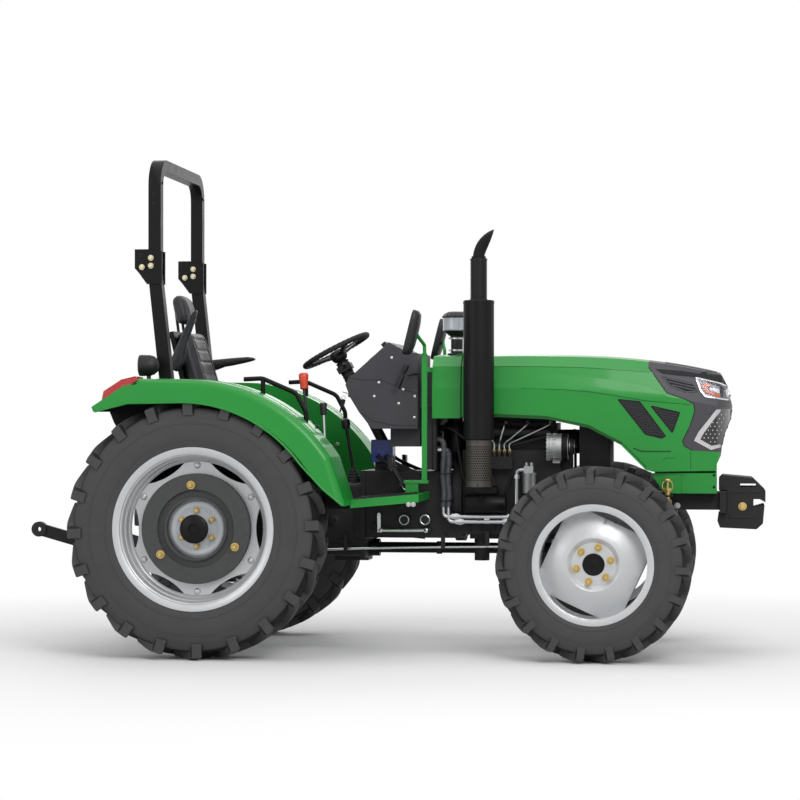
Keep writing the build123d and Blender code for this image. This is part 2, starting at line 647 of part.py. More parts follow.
# Front frame: two rails, top plate, axle hangers and the weight carrier
HANGER_REAR = (ENGINE_FRONT + 10, ENGINE_FRONT + 50)
HANGER_FRONT = (WHEELBASE + 310, WHEELBASE + 365)
CARRIER_FRONT = FRONT_END - 182
with BuildPart() as front_frame:
    for way in (-1, 1):
        rail = sorted((way * (RAIL_OUTER - RAIL_WALL), way * RAIL_OUTER))
        block((ENGINE_FRONT, CARRIER_FRONT - 30), rail, (RAIL_BOTTOM, RAIL_TOP))
    block((RADIATOR_REAR - 20, CARRIER_FRONT - 30), (-RAIL_OUTER, RAIL_OUTER), (RAIL_TOP - 16, RAIL_TOP))
    for hanger in (HANGER_REAR, HANGER_FRONT):
        outline = [
            (-RAIL_OUTER, RAIL_BOTTOM + 40),
            (RAIL_OUTER, RAIL_BOTTOM + 40),
            (RAIL_OUTER, RAIL_BOTTOM - 20),
            (70, SHAFT_Z - 30),
            (40, SHAFT_Z - 62),
            (-40, SHAFT_Z - 62),
            (-70, SHAFT_Z - 30),
            (-RAIL_OUTER, RAIL_BOTTOM - 20),
        ]
        with BuildSketch(across(hanger[0])):
            with BuildLine():
                Polyline(*outline, close=True)
            make_face()
        extrude(amount=hanger[1] - hanger[0])
        rod(
            (hanger[0], 0, SHAFT_Z), (hanger[1], 0, SHAFT_Z), TRUNNION_RADIUS + RUN_GAP, mode=Mode.SUBTRACT
        )
    rod((HANGER_REAR[0], 0, CRANK_Z), (HANGER_REAR[1], 0, CRANK_Z), PULLEY_RADIUS + 10, mode=Mode.SUBTRACT)
    block((CARRIER_FRONT - 32, CARRIER_FRONT), (-190, 190), (RAIL_BOTTOM - 16, RAIL_TOP + 10))
write("front_frame", front_frame.part)

# Suitcase weights hooked over the carrier
HANDLE_SLOT = (788.0, 804.0)
with BuildPart() as front_weights:
    weight_side = [(FRONT_END + x, z) for x, z in WEIGHT_OUTLINE]
    for k in range(WEIGHT_COUNT):
        middle = (k - (WEIGHT_COUNT - 1) / 2) * WEIGHT_PITCH
        side_outline(weight_side, middle - WEIGHT_WIDTH / 2, middle + WEIGHT_WIDTH / 2)
    handle = (FRONT_END - 118, FRONT_END - 42)
    row_half = WEIGHT_COUNT * WEIGHT_PITCH / 2
    block(handle, (-row_half, row_half), HANDLE_SLOT, mode=Mode.SUBTRACT)
write("front_weights", front_weights.part)

# Front axle: beam, differential, trunnions, kingpin barrels and steering cylinder
STEER_X = WHEELBASE - STEER_ARM
with BuildPart() as front_axle:
    rod((WHEELBASE, -KINGPIN_Y, SHAFT_Z), (WHEELBASE, KINGPIN_Y, SHAFT_Z), 50)
    rod((WHEELBASE - 62, 0, SHAFT_Z), (WHEELBASE + 62, 0, SHAFT_Z), 108)
    rod((ENGINE_FRONT + 5, 0, SHAFT_Z), (HANGER_FRONT[1] + 5, 0, SHAFT_Z), TRUNNION_RADIUS)
    for way in (-1, 1):
        foot = (WHEELBASE, way * KINGPIN_Y, BARREL_LOW)
        head = (WHEELBASE, way * KINGPIN_Y, BARREL_HIGH)
        rod(foot, head, BARREL_RADIUS)
        rod(foot, head, KINGPIN_RADIUS + RUN_GAP, mode=Mode.SUBTRACT)
        clamp = sorted((way * 105, way * 130))
        block((STEER_X, WHEELBASE - 20), clamp, (STEER_ROD_Z - 20, SHAFT_Z))
    cylinder_end = (STEER_X, 165, STEER_ROD_Z)
    rod((STEER_X, -165, STEER_ROD_Z), cylinder_end, 32)
    rod((STEER_X, -165, STEER_ROD_Z), cylinder_end, STEER_ROD_RADIUS + RUN_GAP, mode=Mode.SUBTRACT)
write("front_axle", front_axle.part)

# Steering cylinder's through rod with an eye at each end
with BuildPart() as steer_rod:
    rod((STEER_X, 16 - KINGPIN_Y, STEER_ROD_Z), (STEER_X, KINGPIN_Y - 16, STEER_ROD_Z), STEER_ROD_RADIUS)
    for way in (-1, 1):
        low_end = (STEER_X, way * KINGPIN_Y, STEER_ROD_Z - STEER_EYE_HALF)
        high_end = (STEER_X, way * KINGPIN_Y, STEER_ROD_Z + STEER_EYE_HALF)
        rod(low_end, high_end, 24)
        rod(low_end, high_end, 10, mode=Mode.SUBTRACT)
write("steer_rod", steer_rod.part)

# Knuckle, right hand: fork round the barrel, kingpin, spindle and steering arm
with BuildPart() as knuckle:
    low = (BARREL_LOW - YOKE_GAP - YOKE_PLATE, BARREL_LOW - YOKE_GAP)
    high = (BARREL_HIGH + YOKE_GAP, BARREL_HIGH + YOKE_GAP + YOKE_PLATE)
    for plate in (low, high):
        with BuildSketch(level(plate[0])):
            with Locations((WHEELBASE, -KINGPIN_Y)):
                Circle(52)
            with Locations((WHEELBASE, -(KINGPIN_Y + KNUCKLE_FACE) / 2)):
                Rectangle(104, KNUCKLE_FACE - KINGPIN_Y)
        extrude(amount=YOKE_PLATE)
    wall = (-KNUCKLE_FACE, -KINGPIN_Y - BARREL_RADIUS - YOKE_GAP)
    block((WHEELBASE - 52, WHEELBASE + 52), wall, (low[0], high[1]))
    rod((WHEELBASE, -KINGPIN_Y, low[0]), (WHEELBASE, -KINGPIN_Y, high[1] + 14), KINGPIN_RADIUS)
    rod((WHEELBASE, wall[1], FRONT_HUB_Z), (WHEELBASE, wall[0], FRONT_HUB_Z), 78)
    rod((WHEELBASE, wall[1], FRONT_HUB_Z), (WHEELBASE, -FRONT_TREAD / 2 - 10, FRONT_HUB_Z), SPINDLE_RADIUS)
    arm_top = STEER_ROD_Z - STEER_EYE_HALF - YOKE_GAP
    with BuildSketch(level(arm_top - 16)):
        with Locations((STEER_X, -KINGPIN_Y)):
            Circle(26)
        with Locations(((STEER_X + WHEELBASE) / 2, -KINGPIN_Y)):
            Rectangle(STEER_ARM, 46)
    extrude(amount=16)
write_pair("knuckle", knuckle.part)

# Front drive shaft between gearbox and front axle
with BuildPart() as drive_shaft:
    rod((GEARBOX_FRONT + 12, 0, SHAFT_Z), (ENGINE_FRONT + 5, 0, SHAFT_Z), SHAFT_RADIUS)
    rod((GEARBOX_FRONT + 12, 0, SHAFT_Z), (GEARBOX_FRONT + 60, 0, SHAFT_Z), 42)
    rod((ENGINE_FRONT - 45, 0, SHAFT_Z), (ENGINE_FRONT + 5, 0, SHAFT_Z), 38)
write("drive_shaft", drive_shaft.part)

# Fender, right hand: rounded cover over the tyre with a full inner panel
FENDER_REACH = 705.0  # front end ahead of the rear axle
FENDER_FOOT = REAR_AXLE_Z + TRUMPET_RADIUS + 3
FENDER_WALL = 4.0


def fender_cover(inset):
    """Side view of the fender's outside, drawn smaller by the given wall, as one face."""
    with BuildSketch(Plane.XY) as cover:
        with BuildLine():
            Polyline((-470, REAR_AXLE_Z + 562), (-270, REAR_AXLE_Z + 693), (0, REAR_AXLE_Z + 688))
            TangentArc((0, REAR_AXLE_Z + 688), (640, REAR_AXLE_Z + 332), tangent=(270, -5))
            Polyline(
                (640, REAR_AXLE_Z + 332),
                (FENDER_REACH, REAR_AXLE_Z + 132),
                (FENDER_REACH, FENDER_FOOT),
                (-200, FENDER_FOOT),
                (-440, REAR_AXLE_Z + 490),
                (-470, REAR_AXLE_Z + 562),
            )
        make_face()
        if inset:
            offset(amount=-inset, kind=Kind.INTERSECTION, mode=Mode.REPLACE)
    return cover.sketch


with BuildPart() as fender_solid:
    with BuildSketch(side(-FENDER_INNER)):
        add(fender_cover(0))
    extrude(amount=FENDER_OUTER - FENDER_INNER)
    shoulder = fender_solid.faces().sort_by(Axis.Y)[0].edges()
    fillet(shoulder.filter_by(lambda e: e.center().Z > REAR_AXLE_Z + 200 and e.center().X > -200), radius=38)
with BuildPart() as fender_room:
    with BuildSketch(side(-FENDER_INNER - FENDER_WALL)):
        add(fender_cover(FENDER_WALL))
    extrude(amount=FENDER_OUTER - FENDER_INNER - 2 * FENDER_WALL)
    shoulder = fender_room.faces().sort_by(Axis.Y)[0].edges()
    fillet(shoulder.filter_by(lambda e: e.center().Z > REAR_AXLE_Z + 200 and e.center().X > -200), radius=34)
with BuildPart() as fender:
    add(fender_solid.part)
    add(fender_room.part, mode=Mode.SUBTRACT)
    with BuildSketch(side(-FENDER_INNER - FENDER_WALL)) as below_lip:
        with BuildLine():
            Polyline(
                (-30, REAR_AXLE_Z + 584),
                (-300, REAR_AXLE_Z + 580),
                (-600, REAR_AXLE_Z + 505),
                (-600, REAR_AXLE_Z),
                (FENDER_REACH + 60, REAR_AXLE_Z),
                (FENDER_REACH + 60, REAR_AXLE_Z + 60),
                (610, REAR_AXLE_Z + 187),
                (520, REAR_AXLE_Z + 297),
            )
            ThreePointArc((520, REAR_AXLE_Z + 297), (300, REAR_AXLE_Z + 492), (-30, REAR_AXLE_Z + 584))
        make_face()
    extrude(amount=FENDER_OUTER, mode=Mode.SUBTRACT)
write_pair("fender", fender.part)

# Grab rails on the fenders
RAIL_Y = 600.0
with BuildPart() as grab_rail:
    with BuildLine(side(-RAIL_Y)) as rail_path:
        FilletPolyline((203, 1294), (290, 1298), (450, 1229), (496, 1140), (496, 1040), radius=60)
    with BuildSketch(Plane(origin=(203, -RAIL_Y, 1294), z_dir=(87, 0, 4))):
        Circle(11)
    sweep()
    rod((293, -RAIL_Y, 1215), (293, -RAIL_Y, 1294), 11)
    add(fender_solid.part, mode=Mode.SUBTRACT)
with BuildPart() as grab_rails:
    add(both_sides(grab_rail.part))
write("grab_rails", grab_rails.part)

# Rear lamps: red clusters on the fender tails and round work lamps on stalks
with BuildPart() as tail_lamp:
    lamp_side = [(-425, 1188), (-416, 1236), (-332, 1290), (-262, 1306), (-262, 1280)]
    side_outline(lamp_side, -FENDER_OUTER, -FENDER_OUTER + 125)
    add(fender_solid.part, mode=Mode.SUBTRACT)
with BuildPart() as work_lamp:
    rod((-300, -565, 1360), (-228, -565, 1360), 46)
    rod((-258, -565, 1240), (-258, -565, 1360), 10)
    add(fender_solid.part, mode=Mode.SUBTRACT)
with BuildPart() as rear_lamps:
    add(both_sides(tail_lamp.part))
    add(both_sides(work_lamp.part))
write("rear_lamps", rear_lamps.part)

# Roll bar posts with feet, fold brackets and pivot bolts
BRACKET_WALL = 8.0
HOOP_SIDE = BAR_TUBE - 4
PIVOT_BOLT = 9.0
FOOT_TOP = PAD_TOP + 14
with BuildPart() as roll_post:
    run = Vector(BAR_X - BAR_FOOT_X, 0, BAR_SPLIT - FOOT_TOP)
    with BuildSketch(Plane(origin=(BAR_FOOT_X, -BAR_Y, PAD_TOP), x_dir=(0, 1, 0), z_dir=run)):
        Rectangle(BAR_TUBE, BAR_TUBE)
    extrude(amount=run.length + 60)
    split(bisect_by=level(BAR_SPLIT), keep=Keep.BOTTOM)
    block((BAR_FOOT_X - 60, 80), (-FENDER_INNER, -BAR_Y + BAR_TUBE / 2 + 8), (PAD_TOP, FOOT_TOP))
    split(bisect_by=level(PAD_TOP), keep=Keep.TOP)
    gusset = [(BAR_FOOT_X, FOOT_TOP), (70, FOOT_TOP), (BAR_FOOT_X, FOOT_TOP + 190)]
    side_outline(gusset, -BAR_Y - 6, -BAR_Y + 6)
    bracket = [
        (BAR_X + 38, BAR_SPLIT - 57),
        (BAR_X + 38, BAR_SPLIT + 98),
        (BAR_PIVOT[0] + 28, BAR_SPLIT + 108),
        (BAR_PIVOT[0] - 37, BAR_SPLIT + 108),
        (BAR_PIVOT[0] - 37, BAR_PIVOT[1] - 5),
        (BAR_PIVOT[0] - 18, BAR_PIVOT[1] - 26),
        (BAR_X - 34, BAR_SPLIT - 57),
    ]
    for face in (-BAR_Y - BAR_TUBE / 2 - BRACKET_WALL, -BAR_Y + BAR_TUBE / 2):
        side_outline(bracket, face, face + BRACKET_WALL)
    reach = BAR_TUBE / 2 + BRACKET_WALL + 9
    rod(
        (BAR_PIVOT[0], -BAR_Y - reach, BAR_PIVOT[1]), (BAR_PIVOT[0], -BAR_Y + reach, BAR_PIVOT[1]), PIVOT_BOLT
    )
with BuildPart() as roll_posts:
    add(both_sides(roll_post.part))
write("roll_bar_posts", roll_posts.part)

# Roll bar hoop with an ear at each pivot bolt
HOOP_LOW = BAR_SPLIT + 6
with BuildPart() as hoop:
    with BuildLine(across(BAR_X)) as hoop_path:
        crossbar = ROLL_BAR_TOP - BAR_TUBE / 2
        FilletPolyline(
            (-BAR_Y, HOOP_LOW), (-BAR_Y, crossbar), (BAR_Y, crossbar), (BAR_Y, HOOP_LOW), radius=105
        )
    with BuildSketch(Plane(origin=(BAR_X, -BAR_Y, HOOP_LOW), x_dir=(1, 0, 0), z_dir=(0, 0, 1))):
        Rectangle(BAR_TUBE, HOOP_SIDE)
    sweep()
    for way in (-1, 1):
        ear = [
            (BAR_X, HOOP_LOW + 8),
            (BAR_X, BAR_PIVOT[1] + 50),
            (BAR_PIVOT[0] - 10, BAR_PIVOT[1] + 24),
            (BAR_PIVOT[0] - 22, BAR_PIVOT[1] + 8),
            (BAR_PIVOT[0] - 22, BAR_PIVOT[1] - 12),
        ]
        inner = way * BAR_Y
        side_outline(ear, inner - HOOP_SIDE / 2, inner + HOOP_SIDE / 2)
        rod(
            (BAR_PIVOT[0], inner - BAR_TUBE, BAR_PIVOT[1]),
            (BAR_PIVOT[0], inner + BAR_TUBE, BAR_PIVOT[1]),
            PIVOT_BOLT + RUN_GAP,
            mode=Mode.SUBTRACT,
        )
write("roll_bar_hoop", hoop.part)

# Platform: one tray-shaped step plate on each side of the gearbox
PLATFORM_FRONT = 1024.0
PLATFORM_REAR_TOP = 735.0
PLATFORM_FRONT_TOP = 764.0
PLATFORM_DEPTH = 38.0
PLATE = 5.0
with BuildPart() as step_plate:
    tray = [
        (FENDER_REACH, PLATFORM_REAR_TOP - PLATFORM_DEPTH),
        (FENDER_REACH, PLATFORM_REAR_TOP),
        (PLATFORM_FRONT, PLATFORM_FRONT_TOP),
        (PLATFORM_FRONT, PLATFORM_FRONT_TOP - PLATFORM_DEPTH),
    ]
    side_outline(tray, -PLATFORM_OUTER, -CASE_HALF - FLANGE)
    hollow = [
        (FENDER_REACH + PLATE, PLATFORM_REAR_TOP - PLATFORM_DEPTH - 20),
        (FENDER_REACH + PLATE, PLATFORM_REAR_TOP - PLATE),
        (PLATFORM_FRONT - PLATE, PLATFORM_FRONT_TOP - PLATE),
        (PLATFORM_FRONT - PLATE, PLATFORM_FRONT_TOP - PLATFORM_DEPTH - 20),
    ]
    side_outline(hollow, -PLATFORM_OUTER + PLATE, -CASE_HALF - FLANGE - PLATE, mode=Mode.SUBTRACT)
with BuildPart() as platform:
    add(both_sides(step_plate.part))
write("platform", platform.part)
with BuildPart() as step_solid:
    side_outline(tray, -PLATFORM_OUTER, -CASE_HALF - FLANGE)

# Cowl behind the hood
COWL_FRONT = HOOD_REAR - SEAM
HINGE = (HOOD_REAR - SEAM / 2, HOOD_TOP + 2)
HINGE_Y = 150.0
HINGE_BARREL = 7.0
HINGE_PIN = 3.5
BODY_LOW = 1112.0


def body_section(half, top, low, inset=0.0):
    """Cross-section of hood and cowl as Y and Z points, drawn smaller by the given wall."""
    w = half - inset
    t = top - inset
    right = [(w, low), (w, top - 165), (w - 18, top - 60 - inset / 2), (w - 72, t - 12)]
    left = [(-y, z) for y, z in reversed(right)]
    return right + [(0, t)] + left


with BuildPart() as cowl:
    with BuildSketch(across(COWL_REAR)):
        with BuildLine():
            Polyline(*body_section(HOOD_HALF, HOOD_TOP, BODY_LOW), close=True)
        make_face()
    extrude(amount=COWL_FRONT - COWL_REAR)
    with BuildSketch(across(COWL_REAR + SKIN)):
        with BuildLine():
            Polyline(*body_section(HOOD_HALF, HOOD_TOP, BODY_LOW - 20, SKIN), close=True)
        make_face()
    extrude(amount=COWL_FRONT, mode=Mode.SUBTRACT)
    for way in (-1, 1):
        for start, end in ((HINGE_Y - 38, HINGE_Y - 22), (HINGE_Y + 22, HINGE_Y + 38)):
            rod((HINGE[0], way * start, HINGE[1]), (HINGE[0], way * end, HINGE[1]), HINGE_BARREL)
            leaf = sorted((way * start, way * end))
            block((HINGE[0] - 30, HINGE[0]), leaf, (HINGE[1] - 12, HINGE[1] - 1))
        rod(
            (HINGE[0], way * (HINGE_Y - 38), HINGE[1]),
            (HINGE[0], way * (HINGE_Y + 38), HINGE[1]),
            HINGE_PIN,
        )
write("cowl", cowl.part)

# Firewall between clutch housing and cowl
with BuildPart() as firewall:
    block((COWL_REAR + SKIN, COWL_REAR + SKIN + 8), (-250, 250), (CLUTCH_TOP, BODY_LOW + 90))
write("firewall", firewall.part)

# Hood shell, nose trim, lamps and side grilles
NOSE_RADIUS = 415.0
NOSE_REACH = 628.0  # nose ahead of the front axle
NOSE_WALL = 7.0
HOOD_LEVEL = 172.0  # length of the hood's level lower edge
LAMP_INNER = 80.0
# How much narrower and lower the hood is than at its rear, at even steps to beyond the nose
NOSE_TAPER = [(0, 0), (0, 0), (1, 0), (6, 4), (17, 14), (36, 36), (66, 72), (118, 134)]
# Side views of hood, trim, lamps and grilles: X from the front axle, and Z
NOSE_LINE = [
    (542, 1500),
    (573, 1326),
    (606, 1263),
    (618, 1208),
    (628, 1170),
    (618, 1110),
    (588, 1035),
    (578, 976),
    (574, 938),
    (554, 895),
    (554, 866),
]
HOOD_LOWER_LINE = [
    (255, 862),
    (224, 871),
    (108, 988),
    (-42, 1067),
    (-243, 1109),
]
TRIM_SIDE = [
    (236, 1500),
    (236, 1352),
    (254, 1329),
    (324, 1230),
    (408, 1202),
    (448, 1179),
    (452, 1144),
    (431, 1077),
    (396, 1006),
    (403, 983),
    (443, 961),
    (670, 948),
    (670, 1500),
]
HEADLAMP_SIDE = [(454, 1303), (577, 1273), (670, 1258), (670, 1193), (500, 1212), (477, 1240)]
CORNER_LAMP_SIDE = [(546, 1156), (670, 1156), (670, 977), (532, 968), (444, 1010), (467, 1048)]
GRILLE_FRONT_SIDE = [(251, 1169), (382, 1139), (348, 1046)]
GRILLE_REAR_SIDE = [(97, 1200), (196, 1190), (316, 1029), (297, 1020), (223, 1039)]


def from_axle(points, back=0.0):
    """Side-view points measured from the front axle, moved back by a wall."""
    return [(WHEELBASE + x - back, z) for x, z in points]


HOOD_SIDE = [
    (HOOD_REAR, 1500),
    *from_axle(NOSE_LINE + HOOD_LOWER_LINE),
    (HOOD_REAR + HOOD_LEVEL, BODY_LOW + 6),
    (HOOD_REAR, BODY_LOW + 6),
]
room_line = from_axle(NOSE_LINE[:-1], NOSE_WALL)
ROOM_SIDE = [(HOOD_REAR - 40, 1500), *room_line, (room_line[-1][0], 700), (HOOD_REAR - 40, 700)]


def hood_body(inset):
    """Lofted hood volume with the nose rounded in plan, drawn smaller by the given wall."""
    with BuildPart() as body:
        start = HOOD_REAR - 60
        step = (WHEELBASE + 700 - start) / (len(NOSE_TAPER) - 1)
        for k, (narrower, lower) in enumerate(NOSE_TAPER):
            with BuildSketch(across(start + k * step)):
                with BuildLine():
                    points = body_section(HOOD_HALF - narrower, HOOD_TOP - lower, 700, inset)
                    Polyline(*points, close=True)
                make_face()
        loft()
        with BuildSketch(level(600)):
            with BuildLine():
                nose = NOSE_RADIUS - inset
                centre_x = WHEELBASE + NOSE_REACH - NOSE_RADIUS
                lean_x = centre_x + sqrt(nose**2 - 330**2)
                ThreePointArc((lean_x, -330), (centre_x + nose, 0), (lean_x, 330))
                Polyline((lean_x, 330), (HOOD_REAR - 100, 330), (HOOD_REAR - 100, -330), (lean_x, -330))
            make_face()
        extrude(amount=1000, mode=Mode.INTERSECT)
    return body.part


with BuildPart() as hood_room:
    add(hood_body(SKIN))
    side_outline(ROOM_SIDE, -HOOD_HALF, HOOD_HALF, mode=Mode.INTERSECT)
with BuildPart() as hood_shell:
    add(hood_body(0))
    side_outline(HOOD_SIDE, -HOOD_HALF, HOOD_HALF, mode=Mode.INTERSECT)
    add(hood_room.part, mode=Mode.SUBTRACT)


def shell_piece(outline, inner):
    """The parts of the hood's shell inside a side-view outline and beyond |Y| = inner."""
    with BuildPart() as piece:
        side_outline(from_axle(outline), -HOOD_HALF, -inner)
        side_outline(from_axle(outline), inner, HOOD_HALF)
        add(hood_shell.part, mode=Mode.INTERSECT)
    return piece.part


headlamp = shell_piece(HEADLAMP_SIDE, LAMP_INNER)
corner_lamp = shell_piece(CORNER_LAMP_SIDE, LAMP_INNER)
grille_front = shell_piece(GRILLE_FRONT_SIDE, LAMP_INNER)
grille_rear = shell_piece(GRILLE_REAR_SIDE, LAMP_INNER)
with BuildPart() as nose_trim:
    side_outline(from_axle(TRIM_SIDE), -HOOD_HALF, HOOD_HALF)
    add(hood_shell.part, mode=Mode.INTERSECT)
    add(headlamp, mode=Mode.SUBTRACT)
    add(corner_lamp, mode=Mode.SUBTRACT)
with BuildPart() as hood:
    add(hood_shell.part)
    for way in (-1, 1):
        for middle in (HINGE_Y - 30, HINGE_Y + 30):
            notch = sorted((way * (middle - 13), way * (middle + 13)))
            block((HOOD_REAR - 10, HINGE[0] + 15), notch, (HINGE[1] - 25, HINGE[1] + 15), mode=Mode.SUBTRACT)
        leaf = sorted((way * (HINGE_Y - 20), way * (HINGE_Y + 20)))
        start = (HINGE[0], leaf[0], HINGE[1])
        end = (HINGE[0], leaf[1], HINGE[1])
        rod(start, end, HINGE_BARREL)
        block((HINGE[0], HINGE[0] + 30), leaf, (HINGE[1] - 12, HINGE[1] - 1))
        rod(start, end, HINGE_PIN + RUN_GAP, mode=Mode.SUBTRACT)
    side_outline(from_axle(TRIM_SIDE), -HOOD_HALF, HOOD_HALF, mode=Mode.SUBTRACT)
    add(grille_front, mode=Mode.SUBTRACT)
    add(grille_rear, mode=Mode.SUBTRACT)
with BuildPart() as nose_lamps:
    add([headlamp, corner_lamp])
with BuildPart() as side_grilles:
    add([grille_front, grille_rear])
write("hood", hood.part)
write("nose_trim", nose_trim.part)
write("nose_lamps", nose_lamps.part)
write("side_grilles", side_grilles.part)

# Fixed cover under the nose
NOSE_COVER_TOP = 855.0
NOSE_COVER_HALF = 245.0
with BuildPart() as nose_cover:
    cover_side = [(245, NOSE_COVER_TOP), (554, NOSE_COVER_TOP), (554, RAIL_TOP), (312, RAIL_TOP)]
    side_outline(from_axle(cover_side), -NOSE_COVER_HALF, NOSE_COVER_HALF)
    room_end = 554 - SKIN
    room = [(170, 895), (room_end, 895), (room_end, RAIL_TOP - 40), (170, RAIL_TOP - 40)]
    side_outline(from_axle(room), -NOSE_COVER_HALF + SKIN, NOSE_COVER_HALF - SKIN, mode=Mode.SUBTRACT)
write("nose_cover", nose_cover.part)

# Dash console round the steering column
DASH_HALF = 255.0
DASH_FRONT = 975.0
DASH_SIDE = [
    (836, 1474),
    (917, 1431),
    (DASH_FRONT, 1421),
    (DASH_FRONT, 1062),
    (755, 1062),
    (692, 1142),
    (649, 1213),
    (627, 1272),
    (644, 1303),
]
UNIT_TOP = 1005.0


def on_column(distance):
    """Point on the steering axis, the given distance below the wheel's centre."""
    return (COLUMN_TOP[0] + COLUMN_DOWN[0] * distance, 0, COLUMN_TOP[1] + COLUMN_DOWN[1] * distance)


COLUMN_LENGTH = (COLUMN_TOP[1] - UNIT_TOP) / -COLUMN_DOWN[1]
with BuildPart() as dash:
    side_outline(DASH_SIDE, -DASH_HALF, DASH_HALF)
    with BuildSketch(side(DASH_HALF - SKIN)) as dash_room:
        with BuildLine():
            Polyline(*DASH_SIDE, close=True)
        make_face()
        offset(amount=-SKIN, kind=Kind.INTERSECTION, mode=Mode.REPLACE)
    extrude(amount=2 * (DASH_HALF - SKIN), mode=Mode.SUBTRACT)
    block((770, DASH_FRONT - SKIN), (-DASH_HALF + SKIN, DASH_HALF - SKIN), (1050, 1075), mode=Mode.SUBTRACT)
    block((831, DASH_FRONT), (-DASH_HALF + 100, DASH_HALF - 100), (976, 1085))
    block((836, DASH_FRONT - SKIN), (-DASH_HALF + 105, DASH_HALF - 105), (981, 1095), mode=Mode.SUBTRACT)
    block((DASH_FRONT, COWL_REAR), (-180, 180), (1160, 1350))
    rod(on_column(60), on_column(COLUMN_LENGTH), COLUMN_RADIUS + 4, mode=Mode.SUBTRACT)
write("dash_console", dash.part)

# Steering column and hydraulic steering unit on the clutch housing
with BuildPart() as column:
    rod(on_column(62), on_column(COLUMN_LENGTH + 30), COLUMN_RADIUS)
    rod(on_column(22), on_column(70), 11)
    foot = on_column(COLUMN_LENGTH)
    block((foot[0] - 45, foot[0] + 55), (-50, 50), (UNIT_TOP - 105, UNIT_TOP))
    block((foot[0] - 30, foot[0] + 40), (-38, 38), (CLUTCH_TOP, UNIT_TOP - 105))
write("steering_column", column.part)

# Steering wheel
WHEEL_GRIP = 14.0
SPOKES = 3
with BuildPart() as steering_wheel:
    up = (-COLUMN_DOWN[0], 0, -COLUMN_DOWN[1])
    centre = (COLUMN_TOP[0], 0, COLUMN_TOP[1])
    with BuildSketch(Plane(origin=centre, x_dir=(0, 1, 0), z_dir=(up[2], 0, -up[0]))):
        with Locations((STEER_WHEEL_RADIUS - WHEEL_GRIP, 0)):
            RegularPolygon(WHEEL_GRIP, 8)
    revolve(axis=Axis(centre, up))
    rod(on_column(56), on_column(10), 42)
    rim_plane = Plane(origin=centre, x_dir=(0, 1, 0), z_dir=up)
    for k in range(SPOKES):
        turn = radians(90 + k * 360 / SPOKES)
        tip = rim_plane.from_local_coords(
            (cos(turn) * (STEER_WHEEL_RADIUS - WHEEL_GRIP), sin(turn) * (STEER_WHEEL_RADIUS - WHEEL_GRIP), 0)
        )
        root = rim_plane.from_local_coords((cos(turn) * 30, sin(turn) * 30, -32))
        rod(tuple(root), tuple(tip), 9)
    rod(on_column(60), on_column(18), 11 + RUN_GAP, mode=Mode.SUBTRACT)
write("steering_wheel", steering_wheel.part)

# Posts that carry cowl and mirrors
POST_X = 1028.0
POST_TOP = 1403.0
with BuildPart() as cowl_post:
    block((POST_X - 12, POST_X + 12), (-POST_Y - 12, -POST_Y + 12), (815, POST_TOP))
    block((933, 1046), (-POST_Y - 25, -POST_Y + 25), (808, 822))
    block((940, 1000), (-POST_Y - 20, -POST_Y + 20), (730, 810))
    block((POST_X - 10, COWL_REAR), (-POST_Y - 8, -HOOD_HALF + 40), (1330, 1352))
    add(step_solid.part, mode=Mode.SUBTRACT)
with BuildPart() as cowl_posts:
    add(both_sides(cowl_post.part))
write("cowl_posts", cowl_posts.part)

# Mirrors on arms from the posts
with BuildPart() as mirror_arm:
    rod((POST_X, -POST_Y, POST_TOP), (POST_X, -POST_Y, POST_TOP + 60), 10)
    rod((POST_X, -POST_Y, POST_TOP + 52), (POST_X - 20, -POST_Y - 130, POST_TOP + 105), 10)
    tilt = Plane(
        origin=(POST_X - 38, -POST_Y - 130, POST_TOP + 105), x_dir=(0, 1, 0), z_dir=(-0.97, 0, 0.24)
    )
    with BuildSketch(tilt):
        RectangleRounded(140, 214, 34)
    extrude(amount=22, both=True)
with BuildPart() as mirrors:
    add(both_sides(mirror_arm.part))
write("mirrors", mirrors.part)

# Air intake stack with its pre-cleaner bowl
PRECLEANER_X = 1135.0
with BuildPart() as precleaner:
    rod((PRECLEANER_X, 0, HOOD_TOP), (PRECLEANER_X, 0, HOOD_TOP + 8), 46)
    rod((PRECLEANER_X, 0, HOOD_TOP), (PRECLEANER_X, 0, 1530), 28)
    rod((PRECLEANER_X, 0, 1512), (PRECLEANER_X, 0, 1535), 44, radius_end=68)
    rod((PRECLEANER_X, 0, 1535), (PRECLEANER_X, 0, 1600), 68)
    rod((PRECLEANER_X, 0, 1600), (PRECLEANER_X, 0, 1628), 72, radius_end=40)
write("precleaner", precleaner.part)

